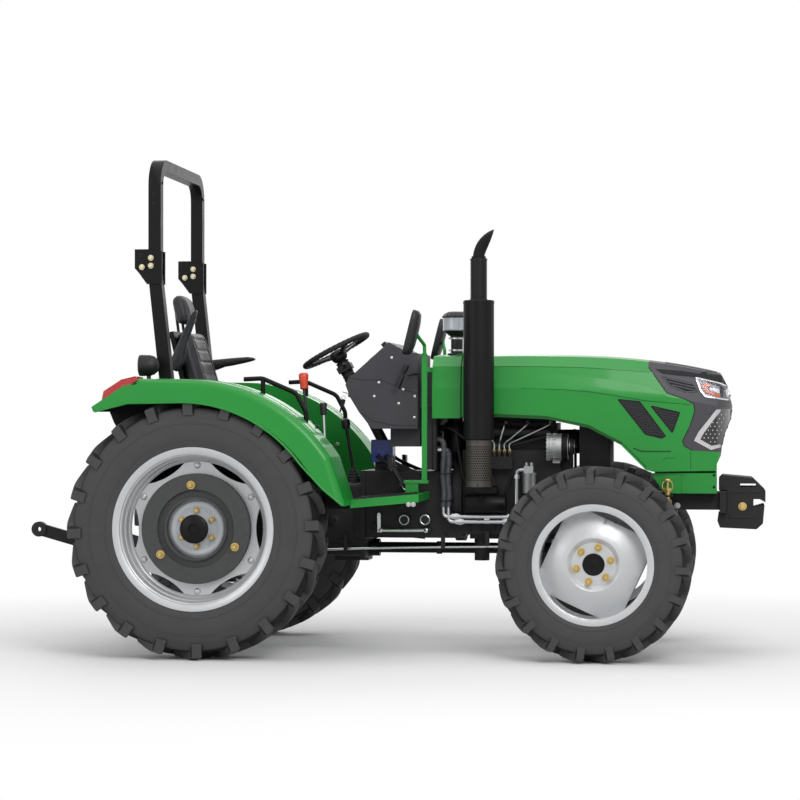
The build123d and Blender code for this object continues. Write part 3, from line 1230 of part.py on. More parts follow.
# Exhaust: silencer beside the hood, down pipe to the engine and curved tail pipe
EXHAUST = (ENGINE_REAR + 102, -412.0)
MUFFLER = (1011.0, 1664.0)
MUFFLER_RADIUS = 72.0
PIPE_RADIUS = 28.0
PIPE_WALL = 3.0
GUARD_TOP = 1858.0
TAIL_BEND = 117.0
MOUTH_TURN = 60.0  # degrees round the bend at the middle of the mouth
MOUTH_TILT = 20.0  # degrees the mouth looks down
mouth = (
    EXHAUST[0] + TAIL_BEND * (1 - cos(radians(MOUTH_TURN))),
    EXHAUST[1],
    GUARD_TOP + TAIL_BEND * sin(radians(MOUTH_TURN)),
)
with BuildPart() as tail_pipe:
    with BuildLine(side(EXHAUST[1])) as tail_path:
        Line((EXHAUST[0], MUFFLER[1] - 10), (EXHAUST[0], GUARD_TOP))
        JernArc((EXHAUST[0], GUARD_TOP), (0, 1), TAIL_BEND, -MOUTH_TURN - 25)
    with BuildSketch(Plane(origin=(*EXHAUST, MUFFLER[1] - 10), z_dir=(0, 0, 1))):
        Circle(PIPE_RADIUS)
        Circle(PIPE_RADIUS - PIPE_WALL, mode=Mode.SUBTRACT)
    sweep()
    look = (cos(radians(MOUTH_TILT)), 0, -sin(radians(MOUTH_TILT)))
    tip = Plane(origin=mouth, z_dir=look)
    with BuildSketch(tip):
        Circle(TAIL_BEND)
    extrude(amount=TAIL_BEND, mode=Mode.SUBTRACT)
with BuildPart() as exhaust:
    rod((*EXHAUST, MUFFLER[0]), (*EXHAUST, MUFFLER[1]), MUFFLER_RADIUS)
    fillet(exhaust.edges().filter_by(GeomType.CIRCLE), radius=6)
    rod((*EXHAUST, 870), (*EXHAUST, MUFFLER[0] + 5), PIPE_RADIUS)
    rod((*EXHAUST, 898), (EXHAUST[0], -CASE_HALF, 898), PIPE_RADIUS)
    add(tail_pipe.part)
write("exhaust", exhaust.part)

# Heat guards round the tail pipe and the down pipe
GUARD_WALL = 3.0
with BuildPart() as exhaust_guards:
    rod((*EXHAUST, MUFFLER[1]), (*EXHAUST, GUARD_TOP), 40)
    rod((*EXHAUST, MUFFLER[1]), (*EXHAUST, GUARD_TOP), 40 - GUARD_WALL, mode=Mode.SUBTRACT)
    rod((*EXHAUST, 792), (*EXHAUST, MUFFLER[0]), 61)
    rod((*EXHAUST, 792), (*EXHAUST, MUFFLER[0]), 61 - GUARD_WALL, mode=Mode.SUBTRACT)
    rod((*EXHAUST, 898), (EXHAUST[0], -CASE_HALF, 898), PIPE_RADIUS, mode=Mode.SUBTRACT)
write("exhaust_guards", exhaust_guards.part)

# Seat frame, pads and armrests
SEAT_PAN = 1080.0
SEAT_HALF = 225.0
BACK_ROOT = (-118.0, 1100.0)
BACK_LEAN = 13.5
ARM_PIVOT = (-194.0, 1362.0)
ARM_PIN_RADIUS = 9.0
ARM_INNER = 250.0
ARM_WIDTH = 52.0
ARMREST_LIFT = 60.0


def on_back(up, forward):
    """Side-view point, measured up the backrest and forward from its rear face."""
    lean = radians(BACK_LEAN)
    return (
        BACK_ROOT[0] - up * sin(lean) + forward * cos(lean),
        BACK_ROOT[1] + up * cos(lean) + forward * sin(lean),
    )


with BuildPart() as seat_frame:
    block((-150, 150), (-LIFT_HALF + 10, LIFT_HALF - 10), (LIFT_TOP, SEAT_PAN - 20))
    block((-180, 215), (-SEAT_HALF + 10, SEAT_HALF - 10), (SEAT_PAN - 22, SEAT_PAN))
    shell = [on_back(-20, -22), on_back(445, -22), on_back(445, 0), on_back(-20, 0)]
    side_outline(shell, -SEAT_HALF + 15, SEAT_HALF - 15)
    block((-175, -112), (-SEAT_HALF + 25, SEAT_HALF - 25), (SEAT_PAN - 10, SEAT_PAN + 12))
    rod(
        (ARM_PIVOT[0], -ARM_INNER - ARM_WIDTH, ARM_PIVOT[1]),
        (ARM_PIVOT[0], ARM_INNER + ARM_WIDTH, ARM_PIVOT[1]),
        ARM_PIN_RADIUS,
    )
    for way in (-1, 1):
        stem = (on_back(600, 10)[0], way * 60, on_back(600, 10)[1])
        rod((on_back(400, -11)[0], way * 60, on_back(400, -11)[1]), stem, 7)
write("seat_frame", seat_frame.part)

with BuildPart() as seat_pads:
    block((-105, 235), (-SEAT_HALF, SEAT_HALF), (SEAT_PAN, SEAT_PAN + 92))
    fillet(seat_pads.edges(), radius=28)
    pad = [on_back(85, 0), on_back(450, 0), on_back(450, 62), on_back(300, 78), on_back(85, 88)]
    side_outline(pad, -SEAT_HALF + 5, SEAT_HALF - 5)
    head = [on_back(468, 0), on_back(628, 0), on_back(628, 68), on_back(468, 80)]
    side_outline(head, -125, 125)
    for way in (-1, 1):
        rod(
            (on_back(400, -11)[0], way * 60, on_back(400, -11)[1]),
            (on_back(600, 10)[0], way * 60, on_back(600, 10)[1]),
            7,
            mode=Mode.SUBTRACT,
        )
write("seat_pads", seat_pads.part)


def make_armrest(lift):
    """Right-hand armrest swung up from level by an angle in degrees."""
    with BuildPart() as armrest:
        back_end = [(-165, 1332), (-218, 1335), (-222, 1372), (-200, 1398)]
        arm = back_end + [(60, 1422), (96, 1416), (92, 1398), (-60, 1366)]
        side_outline(arm, -ARM_INNER - ARM_WIDTH, -ARM_INNER)
        rod(
            (ARM_PIVOT[0], -ARM_INNER - 2 * ARM_WIDTH, ARM_PIVOT[1]),
            (ARM_PIVOT[0], 0, ARM_PIVOT[1]),
            ARM_PIN_RADIUS + RUN_GAP,
            mode=Mode.SUBTRACT,
        )
    pivot = Axis((ARM_PIVOT[0], 0, ARM_PIVOT[1]), (0, -1, 0))
    return armrest.part.rotate(pivot, lift)


write("armrest_right", make_armrest(ARMREST_LIFT))
write("armrest_left", make_armrest(0).mirror(Plane.XZ))

# Levers and pedals
with BuildPart() as controls:
    block((455, 535), (-FENDER_INNER, -FENDER_INNER + 45), (1020, 1075))
    rod((488, -FENDER_INNER + 24, 1060), (458, -FENDER_INNER + 60, 1262), 7)
    rod((460, -FENDER_INNER + 58, 1250), (456, -FENDER_INNER + 66, 1322), 17)
    block((540, 600), (-FENDER_INNER, -FENDER_INNER + 45), (930, 980))
    rod((565, -FENDER_INNER + 24, 960), (556, -FENDER_INNER + 40, 1140), 6)
    rod((556, -FENDER_INNER + 40, 1130), (554, -FENDER_INNER + 44, 1182), 14)
    rod((640, -60, CASE_TOP), (640, -60, CASE_TOP + 60), 34, radius_end=14)
    rod((640, -60, CASE_TOP + 40), (610, -110, CASE_TOP + 270), 8)
    rod((610, -110, CASE_TOP + 262), (606, -116, CASE_TOP + 305), 18)
    rod((PEDAL_SHAFT[0], -CASE_HALF - BOSS, PEDAL_SHAFT[1]), (PEDAL_SHAFT[0], -320, PEDAL_SHAFT[1]), 10)
    rod((PEDAL_SHAFT[0], CASE_HALF + BOSS, PEDAL_SHAFT[1]), (PEDAL_SHAFT[0], 250, PEDAL_SHAFT[1]), 10)
    for y in (-300, -225, 230):
        rod((PEDAL_SHAFT[0], y, PEDAL_SHAFT[1]), (856, y, 885), 8)
        block((848, 860), (y - 30, y + 30), (872, 930))
write("controls", controls.part)

# Hydraulic pipes along the right side, clamped to the engine
PIPE_SIZE = 9.0
PIPE_Y = -BELL_RADIUS - 12
PIPE_FRONT = FILTER_X - 58
with BuildPart() as pipes:
    for drop in (0, 24):
        start = (COWL_REAR + SKIN + 8, 1010 - 2 * drop)
        corner = 1096 + drop
        route = [start, (corner, start[1]), (corner, 645 - drop), (PIPE_FRONT - drop, 645 - drop)]
        if not drop:
            route += [(PIPE_FRONT, 868), (FILTER_X - 22, 868)]
        with BuildLine(side(PIPE_Y)) as pipe_path:
            FilletPolyline(*route, radius=20)
        with BuildSketch(Plane(origin=(start[0], PIPE_Y, start[1]), z_dir=(1, 0, 0))):
            Circle(PIPE_SIZE)
        sweep()
    for clamp_x in (ENGINE_REAR + 110, ENGINE_REAR + 205):
        block((clamp_x, clamp_x + 25), (PIPE_Y - 4, -CASE_HALF), (612, 652))
write("hydraulic_pipes", pipes.part)
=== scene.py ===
"""Looks of the open-station farm tractor: finishes, tyres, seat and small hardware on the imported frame.

Sizes and places are millimetres in the frame of the CAD source, with X = 0 at the rear axle;
every piece is turned into the row's metres when it is made.
"""

import math
from contextlib import contextmanager

import bmesh
import bpy
from mathutils import Matrix, Vector
from mathutils.bvhtree import BVHTree


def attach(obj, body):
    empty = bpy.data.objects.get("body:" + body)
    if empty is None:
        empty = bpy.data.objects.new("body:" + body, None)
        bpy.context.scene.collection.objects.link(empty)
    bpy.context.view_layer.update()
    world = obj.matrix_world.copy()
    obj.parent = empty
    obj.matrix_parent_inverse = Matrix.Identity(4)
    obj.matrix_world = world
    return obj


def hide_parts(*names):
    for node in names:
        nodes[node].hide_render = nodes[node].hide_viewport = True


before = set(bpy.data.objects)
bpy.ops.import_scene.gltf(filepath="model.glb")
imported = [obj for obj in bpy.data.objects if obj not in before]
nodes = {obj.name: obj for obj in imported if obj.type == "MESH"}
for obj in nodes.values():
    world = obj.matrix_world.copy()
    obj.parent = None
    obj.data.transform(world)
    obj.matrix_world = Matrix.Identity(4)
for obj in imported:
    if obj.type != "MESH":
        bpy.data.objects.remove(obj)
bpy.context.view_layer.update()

MID_X = 868.0  # the rear axle's distance behind the row's origin
TO_ROW = Matrix.Scale(0.001, 4) @ Matrix.Translation((-MID_X, 0, 0))
SIDES = (("right", -1), ("left", 1))
AHEAD, BACK, UP = (1, 0, 0), (-1, 0, 0), (0, 0, 1)

# Wheels, as in the CAD source
WHEELBASE = 1830.0
REAR_Y, FRONT_Y = 660.0, 620.0
REAR_RADIUS, REAR_WIDTH, REAR_BEAD, REAR_LUGS = 602.5, 285.0, 355.5, 20
FRONT_RADIUS, FRONT_WIDTH, FRONT_BEAD, FRONT_LUGS = 447.5, 211.0, 254.0, 19
LUG_HEIGHT = 36.0


# Finishes
def srgb(red, green, blue):
    """Linear colour of an 8-bit screen colour."""
    linear = [((c / 255 + 0.055) / 1.055) ** 2.4 if c > 10 else c / 255 / 12.92 for c in (red, green, blue)]
    return (*linear, 1.0)


def scaled(colour, factor):
    return (*[min(1.0, c * factor) for c in colour[:3]], 1.0)


def set_inputs(tree, node, inputs):
    """Sets a shader node's inputs, each to a value or to the output that drives it."""
    for key, value in inputs.items():
        if isinstance(value, bpy.types.NodeSocket):
            tree.links.new(value, node.inputs[key])
        else:
            node.inputs[key].default_value = value


def add_node(tree, kind, inputs, **settings):
    """Adds a shader node and gives its outputs."""
    node = tree.nodes.new("ShaderNode" + kind)
    for key, value in settings.items():
        setattr(node, key, value)
    set_inputs(tree, node, inputs)
    return node.outputs


def mixed(tree, share, first, second):
    """Colour between two, by a share."""
    return add_node(tree, "Mix", {"Factor": share, "A": first, "B": second}, data_type="RGBA")["Result"]


def combined(tree, operation, first, second):
    return add_node(tree, "Math", {0: first, 1: second}, operation=operation)["Value"]


DUST = srgb(150, 138, 120)


def dusted(tree, shade, patches, dust):
    """Colour with dust on the faces that look up."""
    normal = add_node(tree, "NewGeometry", {})["Normal"]
    height = add_node(tree, "SeparateXYZ", {"Vector": normal})["Z"]
    lying = add_node(tree, "MapRange", {"Value": height, "From Min": -0.4, "From Max": 1.0,
                                        "To Min": 0.15 * dust, "To Max": dust})["Result"]
    return mixed(tree, combined(tree, "MULTIPLY", lying, patches), shade, DUST)


def finish(name, colour, rough, metal=0.0, vary=0.15, patch=7.0, grain=240.0, bump=0.12, coat=0.0, dust=0.0,
           fleck=None, stretch=None, shine=0.5):
    """Procedural surface: patchy colour, grained roughness and bump, and dust on faces that look up."""
    mat = bpy.data.materials.new(name)
    mat.use_nodes = True
    tree = mat.node_tree
    space = add_node(tree, "TexCoord", {})["Object"]
    if stretch:
        space = add_node(tree, "Mapping", {"Vector": space, "Scale": stretch})["Vector"]
    broad = add_node(tree, "TexNoise", {"Vector": space, "Scale": patch, "Detail": 5.0,
                                        "Roughness": 0.62})["Fac"]
    fine = add_node(tree, "TexNoise", {"Vector": space, "Scale": grain, "Detail": 3.0})["Fac"]
    shade = mixed(tree, broad, scaled(colour, 1 - vary), scaled(colour, 1 + vary))
    if fleck:
        specks = add_node(tree, "MapRange", {"Value": fine, "From Min": 0.60, "From Max": 0.72})["Result"]
        shade = mixed(tree, specks, shade, fleck)
    if dust:
        shade = dusted(tree, shade, broad, dust)
    low, high = max(0.03, rough - 0.09), min(1.0, rough + 0.09)
    gloss = add_node(tree, "MapRange", {"Value": broad, "To Min": low, "To Max": high})["Result"]
    relief = add_node(tree, "Bump", {"Strength": bump, "Distance": 0.001, "Height": fine})["Normal"]
    shader = tree.nodes["Principled BSDF"]
    set_inputs(tree, shader, {"Base Color": shade, "Roughness": gloss, "Normal": relief, "Metallic": metal,
                              "Specular IOR Level": shine})
    if coat:
        set_inputs(tree, shader, {"Coat Weight": coat, "Coat Roughness": 0.06})
    return mat


def clear(name, colour, rough, alpha):
    """Clear or tinted plastic: mostly see-through, with a finely grained gloss."""
    mat = finish(name, colour, rough, vary=0.05, bump=0.02)
    set_inputs(mat.node_tree, mat.node_tree.nodes["Principled BSDF"], {"Alpha": alpha, "Coat Weight": 0.6})
    return mat


GREEN = finish("green_paint", srgb(18, 134, 44), 0.40, vary=0.05, patch=3, grain=900, bump=0.02, coat=0.16,
               shine=0.36)
# Darker green: painted shade in the hood's creases, along its lower lip and in its folds, and the colour of
# one seam
GREEN_SHADE_AND_SEAM = finish("green_shade_and_seam", srgb(10, 74, 22), 0.5, vary=0.08, grain=700, bump=0.03, shine=0.3)
BLACK_PAINT = finish("black_paint", srgb(15, 15, 17), 0.42, vary=0.2, patch=9, grain=500, bump=0.05,
                     dust=0.02, shine=0.14)
CAST = finish("black_cast", srgb(20, 20, 22), 0.58, vary=0.25, patch=14, grain=330, bump=0.3, dust=0.05,
              shine=0.3)
IRON = finish("weight_iron", srgb(56, 57, 57), 0.62, vary=0.22, patch=26, grain=420, bump=0.35, shine=0.4,
              fleck=srgb(98, 97, 94))
SILVER = finish("rim_silver", srgb(188, 190, 192), 0.38, metal=0.35, vary=0.07, patch=5, grain=800, bump=0.03,
                coat=0.25, dust=0.06)
DISC = finish("rim_disc", srgb(176, 180, 184), 0.42, metal=0.3, vary=0.08, patch=6, grain=800, bump=0.03,
              coat=0.2)
RUBBER = finish("tyre_rubber", srgb(58, 58, 60), 0.62, vary=0.2, patch=11, grain=520, bump=0.25, dust=0.05,
                shine=0.35)
# Painted shade: a much darker rubber for the tyre's groove floors and lug feet, standing for the shade
# between the lugs
GROOVE_SHADE = finish("tyre_groove_shade", srgb(27, 27, 28), 0.85, vary=0.3, patch=14, grain=420, bump=0.3, dust=0.05,
                shine=0.2)
SOFT_RUBBER = finish("soft_rubber", srgb(24, 24, 26), 0.66, grain=400, bump=0.2, shine=0.35)
DASH = finish("dash_plastic", srgb(58, 56, 62), 0.55, vary=0.08, patch=10, grain=1100, bump=0.18, shine=0.4)
TRIM = finish("trim_plastic", srgb(60, 58, 64), 0.46, vary=0.07, patch=10, grain=1200, shine=0.4)
BLACK_PLASTIC = finish("black_plastic", srgb(22, 22, 24), 0.48, vary=0.12, grain=900, shine=0.35)
# Black of the grilles, meshes and lamp cells; also painted shade in holes and inside the exhaust guards
BLACK_MESH_AND_SHADE = finish("black_mesh_and_painted_shade", srgb(10, 10, 12), 0.55, vary=0.2, grain=600, bump=0.1, shine=0.25)
GRILLE_WIRE = finish("grille_wire", srgb(44, 44, 50), 0.4, grain=600, bump=0.05)
GUARD = finish("guard_sheet", srgb(30, 30, 32), 0.45, vary=0.2, patch=20, grain=500, bump=0.06, shine=0.2)
HOT_GUARD = finish("hot_guard", srgb(70, 66, 62), 0.5, metal=0.3, vary=0.2, patch=16, grain=420, bump=0.1)
# Dark rough finish: the firewall's own, and painted shade under the fenders and on their inner walls
UNDERSEAL_AND_SHADE = finish("underseal_and_painted_shade", srgb(17, 18, 18), 0.8, vary=0.25, patch=9, grain=260, bump=0.4, shine=0.2)
STEEL = finish("bright_steel", srgb(186, 188, 190), 0.30, metal=0.9, vary=0.08, patch=20, grain=500,
               bump=0.06, stretch=(1, 1, 8))
ALLOY = finish("cast_alloy", srgb(158, 159, 160), 0.45, metal=0.75, vary=0.14, patch=18, grain=320, bump=0.3)
ZINC = finish("yellow_zinc", srgb(196, 170, 106), 0.36, metal=0.8, vary=0.16, patch=60, grain=500, bump=0.08)
PALE_ZINC = finish("pale_zinc", srgb(206, 198, 168), 0.36, metal=0.75, vary=0.12, patch=50, grain=500,
                   bump=0.08)
LEATHER = finish("seat_leather", srgb(26, 26, 30), 0.5, vary=0.12, patch=10, grain=620, bump=0.45, shine=0.4)
CHROME = finish("chrome", srgb(225, 226, 228), 0.10, metal=1.0, vary=0.03, bump=0.01)
LAMP_SILVER = finish("lamp_silver", srgb(104, 108, 114), 0.28, metal=0.6, vary=0.1, patch=40, grain=90,
                     bump=0.25)
PALE_BEZEL = finish("pale_bezel", srgb(190, 188, 190), 0.35, metal=0.3, vary=0.05, patch=20, grain=600,
                    bump=0.05)
ORANGE = finish("orange_lens", srgb(226, 92, 24), 0.2, vary=0.08, patch=60, grain=300, bump=0.1, coat=0.6)
RED = finish("red_lens", srgb(176, 18, 28), 0.2, vary=0.1, patch=70, grain=260, bump=0.15, coat=0.6)
KNOB = finish("knob_red", srgb(206, 58, 24), 0.4, vary=0.06, grain=500, bump=0.06, coat=0.2)
BLUE = finish("blue_paint", srgb(8, 46, 140), 0.36, vary=0.12, patch=30, grain=500, bump=0.08, coat=0.2)
BOWL = finish("bowl_plastic", srgb(178, 182, 190), 0.22, vary=0.08, patch=20, grain=400, bump=0.05, coat=0.5)
LENS = clear("lamp_lens", srgb(150, 156, 164), 0.08, 0.10)
MIRROR = finish("mirror_glass", srgb(200, 204, 208), 0.04, metal=1.0, vary=0.02, bump=0.005)
DARK_LENS = finish("dark_lens", srgb(16, 17, 20), 0.18, vary=0.1, grain=300, bump=0.05, coat=0.5)
WHITE_LED = finish("lamp_dots", srgb(230, 233, 236), 0.2, vary=0.05, bump=0.03, coat=0.5)
SLEEVE = finish("hose_sleeve", srgb(66, 67, 73), 0.42, vary=0.25, patch=40, grain=700, bump=0.5)

NODE_FINISH = {
    GREEN: "hood cowl fender_left fender_right platform cowl_posts nose_cover",
    BLACK_PAINT: "roll_bar_hoop roll_bar_posts grab_rails exhaust exhaust_guards seat_frame drive_shaft "
                 "radiator",
    UNDERSEAL_AND_SHADE: "firewall",
    CAST: "front_weights drawbar front_frame front_axle knuckle_left knuckle_right rear_axle transmission "
          "engine lift_housing lift_arms lift_rod_left lift_rod_right lower_link_left lower_link_right "
          "steering_column",
    IRON: "wheel_weight_left wheel_weight_right",
    SILVER: "rear_rim_left rear_rim_right front_rim_left front_rim_right",
    RUBBER: "rear_tyre_left rear_tyre_right front_tyre_left front_tyre_right",
    DASH: "dash_console",
    TRIM: "nose_trim",
    BLACK_PLASTIC: "armrest_left armrest_right controls steering_wheel mirrors",
    BLACK_MESH_AND_SHADE: "side_grilles",
    DARK_LENS: "nose_lamps",
    RED: "rear_lamps",
    STEEL: "hydraulic_pipes steer_rod",
    ALLOY: "engine_accessories",
    LEATHER: "seat_pads",
    BOWL: "precleaner",
}

# Nodes by the width of their rounded edges
SOFT_EDGES = {
    3.0: "transmission rear_axle engine front_axle knuckle_left knuckle_right front_frame front_weights "
         "lift_housing lift_arms lower_link_left lower_link_right drawbar",
    2.0: "rear_rim_left rear_rim_right front_rim_left front_rim_right wheel_weight_left wheel_weight_right "
         "dash_console roll_bar_posts roll_bar_hoop engine_accessories platform radiator",
}


def soften(obj, width):
    """Rounds the sharp edges of a piece by a width in millimetres."""
    obj.modifiers.new("weld", "WELD").merge_threshold = 0.00002
    bevel = obj.modifiers.new("round", "BEVEL")
    bevel.width = width / 1000
    bevel.segments = 2
    bevel.limit_method = "ANGLE"
    bevel.angle_limit = math.radians(38)
    bevel.harden_normals = True


def second_finish(name, surface, chosen):
    """Gives the faces of a CAD node that a test picks a second finish."""
    mesh = nodes[name].data
    mesh.materials.append(surface)
    for face in mesh.polygons:
        face.material_index = 1 if chosen(face) else 0


def dress_nodes():
    for surface, names in NODE_FINISH.items():
        for name in names.split():
            nodes[name].data.materials.clear()
            nodes[name].data.materials.append(surface)
    for width, names in SOFT_EDGES.items():
        for name in names.split():
            soften(nodes[name], width)
    second_finish("nose_lamps", LAMP_SILVER, lambda face: face.center.z > 1.17)
    second_finish("engine_accessories", CAST, lambda face: face.center.z < 0.80 and face.center.x < 0.60)
    for side, way in SIDES:
        # Painted shade: the fenders' undersides and the inner walls' faces towards the tyres are made dark,
        # where the fenders shade them
        second_finish(f"fender_{side}", UNDERSEAL_AND_SHADE, lambda face: face.normal.z < -0.35 or (
            way * face.normal.y > 0.5 and way * face.center.y < 0.60))
    bpy.context.view_layer.update()


dress_nodes()


# Mesh tools, all in the source's millimetres
def piece(name, bm, surface, body="chassis", slot=None, smooth=35, bevel=0.0, subdivide=0, replaces=None):
    """Makes an object of the mesh, gives it its finish and fixes it to a body."""
    bmesh.ops.remove_doubles(bm, verts=bm.verts, dist=0.01)
    bmesh.ops.recalc_face_normals(bm, faces=bm.faces)
    bm.transform(TO_ROW)
    mesh = bpy.data.meshes.new(name)
    bm.to_mesh(mesh)
    bm.free()
    mesh.materials.append(surface)
    mesh.shade_smooth()
    mesh.set_sharp_from_angle(angle=math.radians(smooth))
    obj = bpy.data.objects.new(name, mesh)
    bpy.context.scene.collection.objects.link(obj)
    if bevel:
        soften(obj, bevel)
    if subdivide:
        obj.modifiers.new("fine", "SUBSURF").levels = subdivide
        obj.modifiers["fine"].render_levels = subdivide
    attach(obj, body)
    if replaces:
        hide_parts(replaces)
    return obj


@contextmanager
def made(name, surface, *place, **settings):
    """Empty mesh to fill in, which becomes a piece at the end of its block."""
    bm = bmesh.new()
    yield bm
    piece(name, bm, surface, *place, **settings)


def turn_of(k, count):
    """Angle of one of a number of even steps round a circle."""
    return 2 * math.pi * k / count


def bridge(bm, near, far, closed=True):
    """Faces between two rows of as many points."""
    for s in range(len(near) if closed else len(near) - 1):
        n = (s + 1) % len(near)
        bm.faces.new([near[s], near[n], far[n], far[s]])


def lofted(bm, rows):
    """Skin over rings of points, closed at both ends."""
    rings = [[bm.verts.new(p) for p in row] for row in rows]
    for near, far in zip(rings, rings[1:]):
        bridge(bm, near, far)
    bm.faces.new(rings[0][::-1])
    bm.faces.new(rings[-1])


def turned(bm, origin, axis, profile, segments=40):
    """Body of revolution; the profile is pairs of distance along the axis and radius."""
    basis = Vector(axis).normalized().to_track_quat("Z", "Y").to_matrix()
    rings = []
    for along, radius in profile:
        ring = []
        for k in range(segments if radius > 1e-4 else 1):
            turn = turn_of(k, segments)
            local = Vector((radius * math.cos(turn), radius * math.sin(turn), along))
            ring.append(bm.verts.new(Vector(origin) + basis @ local))
        rings.append(ring)
    for near, far in zip(rings, rings[1:]):
        for k in range(segments):
            n = (k + 1) % segments
            corners = [near[k % len(near)], near[n % len(near)], far[n % len(far)], far[k % len(far)]]
            unique = list(dict.fromkeys(corners))
            if len(unique) > 2:
                bm.faces.new(unique)


def collar(bm, origin, axis, inner, outer, width, segments=48):
    """Plain ring round an axis."""
    turned(bm, origin, axis, [(0, inner), (0, outer), (width, outer), (width, inner)], segments)


def hex_head(bm, origin, axis, flats, height, washer=1.3):
    """Bolt head or nut with a chamfered top on a washer."""
    radius = flats / math.sqrt(3)
    lift = height * 0.22
    turned(bm, origin, axis, [(-1, radius * washer), (lift, radius * washer), (lift, 0)], 24)
    top = lift + height
    head = [(lift, radius), (top - height * 0.18, radius), (top, radius * 0.82), (top, 0)]
    turned(bm, origin, axis, head, 6)


def stud(bm, origin, axis, flats, height, reach):
    """Nut with the threaded end of its stud standing out."""
    hex_head(bm, origin, axis, flats, height)
    radius, end = flats * 0.33, height + reach
    turned(bm, origin, axis, [(height, radius), (end, radius), (end + 2, radius * 0.8), (end + 2, 0)], 14)


def bolts(name, spots, axis, surface, flats=17, height=10, slot=None):
    """Group of bolt heads with washers."""
    with made(name, surface, slot=slot, smooth=30) as bm:
        for spot in spots:
            hex_head(bm, spot, axis, flats, height)


def curve_through(points, steps):
    """Smooth run of points through the given ones."""
    pts = [Vector(p) for p in points]
    ends = [2 * pts[0] - pts[1]] + pts + [2 * pts[-1] - pts[-2]]
    run = []
    for a, b, c, d in zip(ends, ends[1:], ends[2:], ends[3:]):
        for k in range(steps):
            t = k / steps
            run.append(0.5 * (2 * b + (c - a) * t + (2 * a - 5 * b + 4 * c - d) * t * t
                              + (3 * b - a - 3 * c + d) * t ** 3))
    return run + [pts[-1]]


def tube(bm, points, radius, segments=10, steps=6, closed=False):
    """Round bar along a smooth run through the points; radius may be a function of the share of the run."""
    run = curve_through(points, steps) if steps > 1 else [Vector(p) for p in points]
    count = len(run)
    side_way = None
    rings = []
    for k, point in enumerate(run):
        ahead = run[(k + 1) % count] if closed else run[min(k + 1, count - 1)]
        behind = run[k - 1] if closed or k else run[0]
        along = (ahead - behind).normalized()
        if side_way is None:
            side_way = along.orthogonal().normalized()
        side_way = (side_way - along * side_way.dot(along)).normalized()
        other = along.cross(side_way)
        size = radius(k / (count - 1)) if callable(radius) else radius
        rings.append([bm.verts.new(p) for p in circle(point, size * side_way, size * other, segments)])
    for near, far in zip(rings, rings[1:] + rings[:1] if closed else rings[1:]):
        bridge(bm, near, far)
    if not closed:
        bm.faces.new(rings[0][::-1])
        bm.faces.new(rings[-1])


def circle(centre, first, second, count):
    """Points round an ellipse given by its two half axes."""
    turns = [turn_of(k, count) for k in range(count)]
    return [Vector(centre) + math.cos(t) * Vector(first) + math.sin(t) * Vector(second) for t in turns]


def slab(bm, corners, offset):
    """Flat plate: a face of the given corners, thickened by an offset."""
    low = [bm.verts.new(Vector(c)) for c in corners]
    high = [bm.verts.new(Vector(c) + Vector(offset)) for c in corners]
    bm.faces.new(low[::-1])
    bm.faces.new(high)
    bridge(bm, low, high)


def prism(bm, outline, y_low, y_high):
    """Side-view outline (X and Z) between two Y values."""
    slab(bm, [(x, y_low, z) for x, z in outline], (0, y_high - y_low, 0))


def brick(bm, x, y, z):
    prism(bm, [(x[0], z[0]), (x[1], z[0]), (x[1], z[1]), (x[0], z[1])], y[0], y[1])


def boxed(bm, origin, axes, a, b, c):
    """Block with its ranges along three axes from an origin."""
    a_way, b_way, c_way = (Vector(w) for w in axes)
    corners = [Vector(origin) + a_way * s + b_way * t + c_way * c[0]
               for s, t in ((a[0], b[0]), (a[1], b[0]), (a[1], b[1]), (a[0], b[1]))]
    slab(bm, corners, c_way * (c[1] - c[0]))


# Tyres
LUG_STEPS = ((0.022, 0.985), (0.034, 0.975), (0.058, 1.0), (0.070, 0.985), (0.098, 1.0))


def tyre_section(radius, width, bead):
    """Half of a tyre's outside as distance from its middle plane and radius, from the tread to the bead."""
    half = width / 2
    tread = radius - LUG_HEIGHT
    height = tread - bead
    return [
        (0, tread + 6),
        (half * 0.45, tread + 4),
        (half * 0.80, tread - 6),
        (half * 0.925, tread - height * 0.14),
        (half * 0.985, tread - height * 0.34),
        (half * 0.995, bead + height * 0.46),
        (half * 0.965, bead + height * 0.27),
        (half * 0.905, bead + 24),
        (half * 0.90, bead + 19),
        (half * 0.87, bead + 12),
        (half * 0.80, bead + 2),
    ]


def lug_section(radius, half, t):
    """Distance from the middle plane and outline of a tread bar, at a share of its length."""
    tread = radius - LUG_HEIGHT
    reach, sweep_back, bar, overlap = half * 0.96, half * 0.66, half * 0.30, half * 0.04
    draft, chamfer = 5.0, 5.0
    y = t * (reach + overlap) - overlap
    lead = bar * 0.55 - (sweep_back + bar * 0.55) * t - 0.10 * sweep_back * 4 * t * (1 - t)
    trail = lead - bar * (1.0 + 0.12 * t)
    edge = max(0.0, (y / half - 0.45) / 0.55)
    top = radius - 0.42 * LUG_HEIGHT * edge ** 2
    foot = tread - 4 - 44 * edge ** 2
    return y, [(lead + draft, foot), (lead, top - chamfer), (lead - chamfer, top), (trail + chamfer, top),
               (trail, top - chamfer), (trail - draft, foot)]


